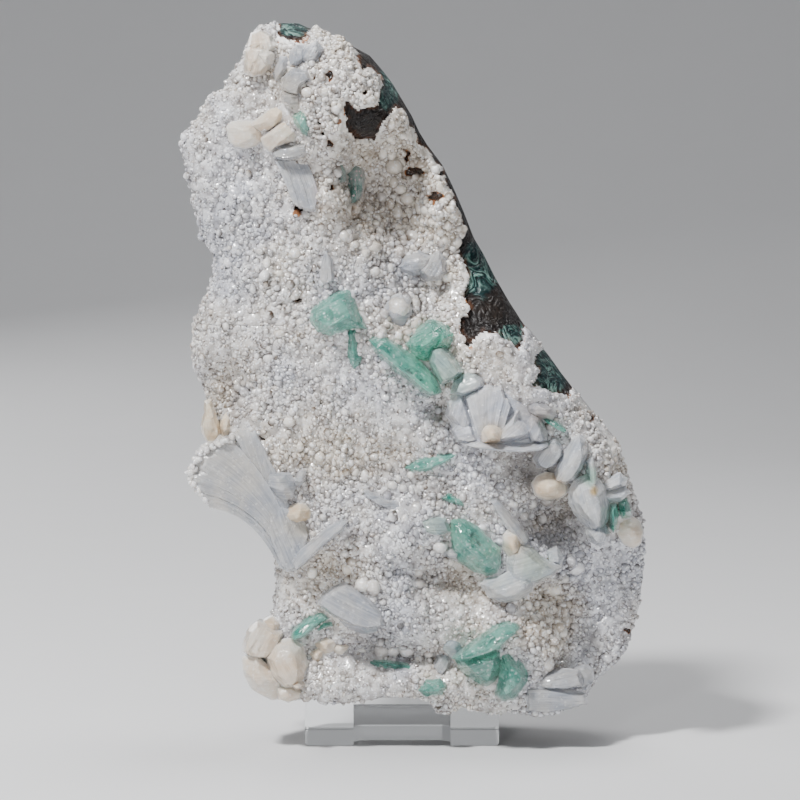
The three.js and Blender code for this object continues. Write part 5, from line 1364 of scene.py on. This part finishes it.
# How far the strips of a fan differ in height, as a share of the rise
FAN_DEPTH = 0.04


def knotted(knots, count):
    """Values from 0 to 1 that include every knot's place, with about count steps shared out between them."""
    places = [p for p, _ in knots]
    runs = [np.linspace(a, b, max(2, round((b - a) * count) + 1))[:-1]
            for a, b in zip(places, places[1:]) if b > a]
    return np.concatenate([*runs, [1.0]])


def read_knots(knots, at):
    """The value at each place on the straight runs between knots."""
    return np.interp(at, [p for p, _ in knots], [h for _, h in knots])


def stepped_section(rng, steps, depth):
    """A cross section of strips side by side, each tilted a little and a little higher or lower than the
    last."""
    places = np.sort(rng.uniform(0.1, 0.92, steps - 1))
    starts = 1.0 - depth * rng.uniform(0, 1, steps)
    ends = np.clip(starts + depth * rng.uniform(-0.8, 0.8, steps), 0.0, 1.0)
    knots = [(0, 0.3), (0.04, 0.9 * float(starts[0]))]
    for place, end, start in zip(places, ends, starts[1:]):
        knots += [(float(place), float(end)), (float(place) + 0.01, float(start))]
    return (*knots, (0.955, float(ends[-1])), (1, 0.3))


def spread(line, shares):
    """Points at shares of the length of a line of straight runs."""
    line = np.array(line, float)
    runs = np.concatenate([[0.0], np.cumsum(np.hypot(*np.diff(line, axis=0).T))])
    return np.column_stack([np.interp(shares * runs[-1], runs, line[:, k]) for k in range(2)])


def sides(outline, grain):
    """The two long sides of an outline, both from its tip at the start of the grain to its tip at the end."""
    points = np.array(outline, float)
    reach = points @ np.array([math.cos(math.radians(grain)), math.sin(math.radians(grain))])
    points = np.roll(points, -int(np.argmin(reach)), axis=0)
    reach = np.roll(reach, -int(np.argmin(reach)))
    far = int(np.argmax(reach))
    return points[:far + 1], np.vstack([points[far:], points[:1]])[::-1]


def runs_left(border):
    """True where a closed loop of places turns to the left, from the sign of its area."""
    nexts = np.roll(border, -1, axis=0)
    return np.sum(border[:, 0] * nexts[:, 1] - nexts[:, 0] * border[:, 1]) > 0


def seat_of(row):
    """The point that a row is seated on: its own, or the mean of its outline or of a fan's middle line."""
    if len(row) > 7:
        return row[7]
    return tuple(np.mean(row[6][1] if row[0] == "fan" else row[6], axis=0))


def grown_solid(row, x, z, height, grain_map, rim):
    """A closed solid from a grid of places and heights over the face at the row's seat, leaned as the row
    says. Its rim goes down to a smaller root ring and a middle point. Returns points, quads, triangles, map
    and rim."""
    seat = seat_of(row)
    skew = row[4] * (x - seat[0]) + row[5] * (z - seat[1])
    y = place_of(seat) - height + skew
    root_y = (place_of(seat) + row[2] + ROOT_LEAN * skew).ravel()
    rows, columns = x.shape
    front = np.column_stack([x.ravel(), y.ravel(), z.ravel()])
    loop = rim_loop(rows, columns)
    middle = np.array([x.mean(), z.mean()])
    root = np.column_stack([middle[0] + ROOT_SHARE * (front[loop, 0] - middle[0]), root_y[loop],
                            middle[1] + ROOT_SHARE * (front[loop, 2] - middle[1])])
    last = np.array([[middle[0], root[:, 1].mean(), middle[1]]])
    n, m = len(front), len(loop)
    ring = np.arange(m) + n
    after = np.roll(loop, -1)
    quads = np.vstack([grid_quads(rows, columns), np.column_stack([after, loop, ring, np.roll(ring, -1)])])
    caps = np.column_stack([np.roll(ring, -1), ring, np.full(m, n + m)])
    if not runs_left(front[loop][:, [0, 2]]):
        quads, caps = quads[:, ::-1], caps[:, ::-1]
    grain_map = np.column_stack([part.ravel() for part in np.broadcast_arrays(*grain_map)])
    grain_map = np.vstack([grain_map, grain_map[loop], grain_map[:1]])
    return np.vstack([front, root, last]), quads, caps, grain_map, np.append(rim, rim[[*loop, 0]])


def place_of(seat):
    """Y of the face at one place."""
    return float(face_y(np.float64(seat[0]), np.float64(seat[1])))


def rim_share(u, w):
    """1 on the border of a crystal's own grid and 0 inside: the larger of the two places' eighth powers."""
    return np.maximum(np.abs(2 * u - 1) ** 8, np.abs(2 * w - 1) ** 8).ravel()


def broken_steps(along_grain, across_grain, seed):
    """Small level steps where a crystal has split: one random height for each long narrow cell, whose ends
    are set at random from strip to strip."""
    a, b = np.broadcast_arrays(along_grain, across_grain)
    strip = np.floor(b / 0.8).astype(np.int64)
    shift = 2.0 * hashed(np.stack([strip, 0 * strip], axis=-1), int(10 * seed))
    block = np.floor(a / 3.6 + shift).astype(np.int64)
    return 0.13 * hashed(np.stack([strip, block], axis=-1), int(10 * seed) + 1)


def blade_solid(row, along_count, across_count):
    """A crystal between the two long sides of its outline. The grid runs along the grain and across it, and
    the height is the rise times the cross section's share, times the share left towards the ends, plus fine
    lines along the grain."""
    rise, grain, outline = row[1], row[3], row[6]
    w = knotted(BLADE, across_count)[None, :]
    u = knotted(ENDS, along_count)[:, None]
    first, second = sides(outline, grain)
    a, b = (spread(side, TIP_GAP + (1 - 2 * TIP_GAP) * u[:, 0]) for side in (first, second))
    x, z = (mix(a[:, None, k], b[:, None, k], w) for k in range(2))
    length = np.hypot(*(first[-1] - first[0]))
    width = np.hypot(x[:, 0] - x[:, -1], z[:, 0] - z[:, -1]).max()
    lines = plane_noise(7.3 * rise, w * width, 0.45, 71) * 0.055
    slim = np.minimum(1.0, 1.3 * np.hypot(*(a - b).T)[:, None] / width)
    height = rise * read_knots(BLADE, w) * read_knots(ENDS, u) * mix(0.82, 1.0, slim)
    height = height + lines + broken_steps(u * length, w * width, rise)
    return grown_solid(row, x, z, height, (u * length, w * width), rim_share(u, w))


def fan_solid(row, along_count, across_count, rng):
    """A sheaf of joined blades that spread from a base line through a middle line to a rim. Places between
    the three lines follow the parabola through them, and each blade has a height and a length of its
    own."""
    rise, ribs, (base, middle, rim) = row[1], row[3], row[6]
    section = stepped_section(rng, ribs, FAN_DEPTH)
    u = knotted(section, across_count * 1.4)
    w = knotted(FAN_ENDS, along_count)[:, None]
    t = w * (1 + 0.05 * plane_noise(u * ribs * 1.3, rise, 1.0, 73) + 0.012 * plane_noise(u, 0.0, 0.02, 76))
    lines = [spread(line, u)[None] for line in (base, middle, rim)]
    weights = ((1 - t) * (1 - 2 * t), 4 * t * (1 - t), t * (2 * t - 1))
    x, z = (sum(weight * line[:, :, k] for weight, line in zip(weights, lines)) for k in range(2))
    length = np.hypot(*(np.array(rim).mean(axis=0) - np.array(base).mean(axis=0)))
    width = np.hypot(*(np.array(rim[-1]) - np.array(rim[0])))
    fine = plane_noise(3.1 * rise, u * width, 0.4, 74) * 0.05
    waves = plane_noise(w * length, u * width, 4.0, 75) * 0.2
    height = rise * read_knots(section, u) * read_knots(FAN_ENDS, w) + fine + waves
    height = height + 0.5 * broken_steps(w * length, u * width, rise)
    return grown_solid(row, x, z, height, (w * length, u * width), rim_share(w, u))


def flats_of(form, rise, outline, middle, border, grain):
    """The height of a crystal's front over places, as a function. A ball or nugget has the softened least
    of several planes tilted outwards and one flat top. A plate has the least of a flat top, two planes
    tilted across the grain, two tilted along it, and a bevel that rises with the distance into the outline,
    and small steps where it has split."""
    rng = np.random.default_rng([SEED, *(int(100 + 10 * abs(place)) for place in outline[0])])
    if form in BEVELS:
        angle = math.radians(grain) + np.pi / 2 * np.arange(4) + rng.uniform(-0.25, 0.25, 4)
        aim = np.column_stack([np.cos(angle), np.sin(angle)])
        reach = ((border - middle) @ aim.T).max(axis=0)
        fall = rng.uniform(*PLATE_TILT, 4)
        crowns = 1.0 + fall * rng.uniform(0.05, 0.6, 4)
        slope = rng.uniform(*BEVELS[form])
        softness = 0.04
    else:
        flats, softness, low_crown, high_crown = FLATS[form]
        turn = 2 * np.pi * (np.arange(flats) + rng.uniform(-0.3, 0.3, flats)) / flats
        aim = np.column_stack([np.cos(turn), np.sin(turn)])
        reach = ((border - middle) @ aim.T).max(axis=0)
        crowns = rng.uniform(low_crown, high_crown, flats)
        fall = crowns - rng.uniform(0.25, 0.55, flats)

    def height_at(px, pz):
        toward = (px[..., None] - middle[0]) * aim[:, 0] + (pz[..., None] - middle[1]) * aim[:, 1]
        planes = rise * (crowns - fall * toward / reach)
        flat_top = rise * (1.0 + 0.05 * (px - middle[0]) / reach[0])[..., None]
        planes = np.concatenate([planes, flat_top], axis=-1)
        if form in BEVELS:
            depth = np.maximum(outline_distance(outline, px, pz), 0.0)
            planes = np.concatenate([planes, (BEVEL_FOOT * rise + slope * depth)[..., None]], axis=-1)
        least = planes.min(axis=-1, keepdims=True)
        level = least[..., 0] - softness * np.log(np.sum(np.exp((least - planes) / softness), axis=-1))
        along, across = turned(px, pz, grain)
        split = broken_steps(along, across, rise) if form in BEVELS else 0.0
        return np.maximum(level + split, BEVEL_FOOT * rise) + 0.05 * plane_noise(px, pz, 1.2, 62)

    return height_at


def ringed_solid(row, rings, turns):
    """A flat-faced or rounded crystal over its outline: rings from the middle to the girdle, then a smaller
    root. Returns points, quads, triangles, map and rim."""
    form, rise, sink, grain, *lean, outline = row[:7]
    seat = seat_of(row)
    border = spread([*outline, outline[0]], np.arange(turns) / turns)
    if form in BEVELS:
        ragged = [plane_noise(*border.T, 0.7, seed) for seed in (63, 64)]
        border = border + 0.16 * np.column_stack(ragged)
    else:
        border = 0.25 * np.roll(border, 1, axis=0) + 0.5 * border + 0.25 * np.roll(border, -1, axis=0)
    middle = border.mean(axis=0)
    share = np.linspace(0, 1, rings + 1)[1:, None] ** 0.7
    x = middle[0] + share * (border[:, 0] - middle[0])
    z = middle[1] + share * (border[:, 1] - middle[1])
    height_at = flats_of(form, rise, outline, middle, border, grain)
    height = height_at(x, z) * mix(0.8, 1.0, smooth((1 - share) / 0.12))
    skew = lean[0] * (x - seat[0]) + lean[1] * (z - seat[1])
    y0 = place_of(seat)
    front = np.column_stack([x.ravel(), (y0 - height + skew).ravel(), z.ravel()])
    root = middle + BALL_ROOT_SHARE * (border - middle)
    root = np.column_stack([root[:, 0], np.full(turns, y0 + sink), root[:, 1]])
    lifted = float(lean[0] * (middle[0] - seat[0]) + lean[1] * (middle[1] - seat[1]))
    crown = y0 - float(height_at(middle[0:1], middle[1:2])[0]) + lifted
    tips = np.array([[middle[0], crown, middle[1]], [middle[0], y0 + sink, middle[1]]])
    points = np.vstack([front, root, tips])
    quads = grid_quads(rings + 1, turns, wrap=True)
    i = np.arange(turns)
    k = (i + 1) % turns
    last, n = rings * turns, (rings + 1) * turns
    caps = np.vstack([np.column_stack([k, i, np.full(turns, n)]),
                      np.column_stack([last + i, last + k, np.full(turns, n + 1)])])
    if runs_left(border):
        quads, caps = quads[:, ::-1], caps[:, ::-1]
    rim = np.concatenate([(share ** 10 + 0 * x).ravel(), np.ones(turns), [0.0, 1.0]])
    return points, quads, caps, np.column_stack(turned(points[:, 0], points[:, 2], grain)), rim


def crystal_solid(row, settings, rng):
    """The solid of one row, made in the way of its form."""
    if row[0] == "fan":
        return fan_solid(row, settings.along, settings.across, rng)
    if row[0] == "blade":
        return blade_solid(row, settings.along, settings.across)
    return ringed_solid(row, settings.rings, settings.turns)


def build_piece(name, solids, material, slot, *nodes):
    """Several closed solids as one mesh, with sharp edges where flat faces meet."""
    starts = np.cumsum([0] + [len(points) for points, *_ in solids])
    points, uv, rim = (np.concatenate([solid[k] for solid in solids]) for k in (0, 3, 4))
    quads, caps = (np.vstack([solid[k] + start for solid, start in zip(solids, starts)]) for k in (1, 2))
    x, z = points[:, 0], points[:, 2]
    dark = np.zeros(len(points))
    for spot in INCLUSIONS:
        dark = np.maximum(dark, smooth(1.6 - 1.4 * ellipse_reach(x, z, *spot)))
    tint = np.ones((len(points), 3))
    for cx, cz, reach, shade in TINTS:
        share = smooth(1.5 - np.hypot(x - cx, z - cz) / reach)[:, None]
        tint = mix(tint, np.array(shade)[None], share)
    obj = make_mesh(name, points, [quads, caps], {"dark": dark, "rim": rim, "tint": tint}, uv=uv)
    obj.data.set_sharp_from_angle(angle=math.radians(SHARP_FROM))
    finish_piece(obj, material, slot, *nodes)


def build_node(name, rows, settings, material, slot):
    """The crystals of one node, drawn from that node's own random numbers."""
    rng = np.random.default_rng([SEED, *name.encode()])
    solids = [crystal_solid(row, settings, rng) for row in rows]
    build_piece(f"{name}_faces", solids, material, slot, name)


def outline_of(row):
    """The outline of a row: its own, or a fan's base and rim joined by its middle line's ends."""
    if row[0] != "fan":
        return row[6]
    base, middle, rim = row[6]
    return [*base, middle[-1], *rim[::-1], middle[0]]


class SPECIMEN_OT_apophyllite(bpy.types.Operator):
    """Build the green blades"""
    bl_idname = "specimen.apophyllite"
    bl_label = "Apophyllite"

    def execute(self, context):
        material = apophyllite_finish()
        for name, crystals in CRYSTALS.items():
            if name.startswith("apophyllite"):
                build_node(name, crystals, context.scene.specimen_crystals, material, "green_apophyllite")
        return {"FINISHED"}


class SPECIMEN_OT_heulandite(bpy.types.Operator):
    """Build the white and cream crystals"""
    bl_idname = "specimen.heulandite"
    bl_label = "Heulandite"

    def execute(self, context):
        settings = context.scene.specimen_crystals
        white = heulandite_finish(
            "white_heulandite", low=(0.42, 0.45, 0.51), high=(0.62, 0.61, 0.60), streak=(0.90, 0.91, 0.94),
            striped=0.38, glow=0.1, clear=0.32)
        cream = heulandite_finish(
            "cream_heulandite", low=(0.72, 0.57, 0.42), high=(0.80, 0.74, 0.65), streak=(0.95, 0.93, 0.89),
            striped=0.18, glow=0.2, clear=0.1)
        for name, crystals in CRYSTALS.items():
            if name in CREAM_NODES:
                build_node(name, crystals, settings, cream, "cream_heulandite")
            elif name.startswith("heulandite"):
                build_node(name, crystals, settings, white, "white_heulandite")
        for name, rows, material, slot in (("peach_balls", PEACH_BALLS, cream, "cream_heulandite"),
                                           ("small_crystals", SMALL_CRYSTALS, white, "white_heulandite")):
            solids = [ringed_solid(row, settings.rings, settings.turns) for row in rows]
            build_piece(name, solids, material, slot)
        return {"FINISHED"}


class SPECIMEN_OT_stand(bpy.types.Operator):
    """Finish the clear stand"""
    bl_idname = "specimen.stand"
    bl_label = "Clear stand"

    def execute(self, context):
        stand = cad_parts["acrylic_stand"]
        stand.data.materials.clear()
        stand.data.materials.append(acrylic_finish())
        return {"FINISHED"}


def soft_light(name, place, size, watts):
    """A round lamp at a place, turned to the middle of the specimen."""
    data = bpy.data.lights.new(name, "AREA")
    data.shape = "DISK"
    data.size = size
    data.energy = watts
    obj = bpy.data.objects.new(name, data)
    bpy.context.scene.collection.objects.link(obj)
    x, y, z = np.array(LIGHT_AIM) - np.array(place)
    obj.location = place
    obj.rotation_euler = (math.atan2(math.hypot(x, y), -z), 0.0, math.atan2(y, x) - math.pi / 2)


def sweep_surface():
    """A wide floor that curves up behind the object into a wall: a flat run, a quarter circle and a
    straight rise, drawn out from side to side."""
    bend = np.linspace(0.0, np.pi / 2, SWEEP_STEPS)
    y = np.concatenate([[-SWEEP_SPAN], SWEEP_FAR + SWEEP_BEND * np.sin(bend), [SWEEP_FAR + SWEEP_BEND]])
    z = np.concatenate([[0.0], SWEEP_BEND * (1.0 - np.cos(bend)), [SWEEP_SPAN]]) - FLOOR_GAP
    x = np.array([-SWEEP_SPAN, SWEEP_SPAN])
    points = np.column_stack([np.tile(x, len(y)), np.repeat(y, 2), np.repeat(z, 2)])
    return points, [grid_quads(len(y), 2)]


class SPECIMEN_OT_stage(bpy.types.Operator):
    """Build the floor, the lights and the camera"""
    bl_idname = "specimen.stage"
    bl_label = "Stage"

    def execute(self, context):
        settings = context.scene.specimen_stage
        scene = context.scene
        m = Nodes("pale_floor")
        at = m.object_coords()
        shade = m.blend(m.noise(at, 30.0), tuple(settings.floor), tuple(0.97 * c for c in settings.floor))
        m.surface(Base_Color=shade, Roughness=0.6)
        floor = make_mesh("floor", *sweep_surface())
        floor.data.materials.append(m.material)
        world = bpy.data.worlds.new("pale_studio")
        world.use_nodes = True
        background = world.node_tree.nodes["Background"]
        background.inputs["Color"].default_value = SKY
        background.inputs["Strength"].default_value = SKY_STRENGTH * settings.light
        scene.world = world
        for name, place, size, watts in LIGHTS:
            soft_light(name, place, size, watts * settings.light)
        camera = bpy.data.cameras.new("camera")
        camera.lens = CAMERA_LENS
        camera.sensor_width = CAMERA_SENSOR
        camera.clip_start = 0.05
        obj = bpy.data.objects.new("camera", camera)
        scene.collection.objects.link(obj)
        tilt = math.radians(CAMERA_TILT)
        away = CAMERA_DISTANCE * np.array((0.0, -math.cos(tilt), math.sin(tilt)))
        obj.location = np.array(CAMERA_AIM) + away
        obj.rotation_euler = (math.pi / 2 - tilt, 0.0, 0.0)
        scene.camera = obj
        return {"FINISHED"}


class SPECIMEN_PT_panel(bpy.types.Panel):
    """Lists the pieces in the sidebar"""
    bl_idname = "SPECIMEN_PT_panel"
    bl_label = "Specimen"
    bl_space_type = "VIEW_3D"
    bl_region_type = "UI"
    bl_category = "Specimen"

    def draw(self, context):
        column = self.layout.column()
        for operator in OPERATORS:
            column.operator(operator.bl_idname)
        for group, settings in GROUPS.items():
            box = self.layout.box()
            box.label(text=group.removeprefix("specimen_").capitalize())
            for key in settings.__annotations__:
                box.prop(getattr(context.scene, group), key)


GROUPS = {
    "specimen_rock": RockSettings,
    "specimen_crust": CrustSettings,
    "specimen_crystals": CrystalSettings,
    "specimen_stage": StageSettings,
}
OPERATORS = (
    SPECIMEN_OT_rock,
    SPECIMEN_OT_crust,
    SPECIMEN_OT_apophyllite,
    SPECIMEN_OT_heulandite,
    SPECIMEN_OT_stand,
    SPECIMEN_OT_stage,
)


def register():
    for item in (*GROUPS.values(), *OPERATORS, SPECIMEN_PT_panel):
        bpy.utils.register_class(item)
    for key, settings in GROUPS.items():
        setattr(bpy.types.Scene, key, PointerProperty(type=settings))


def unregister():
    for key in GROUPS:
        delattr(bpy.types.Scene, key)
    for item in reversed((*GROUPS.values(), *OPERATORS, SPECIMEN_PT_panel)):
        bpy.utils.unregister_class(item)


def main():
    register()
    bpy.ops.specimen.stage()
    bpy.ops.specimen.rock()
    bpy.ops.specimen.crust()
    bpy.ops.specimen.apophyllite()
    bpy.ops.specimen.heulandite()
    bpy.ops.specimen.stand()


if __name__ == "__main__":
    main()
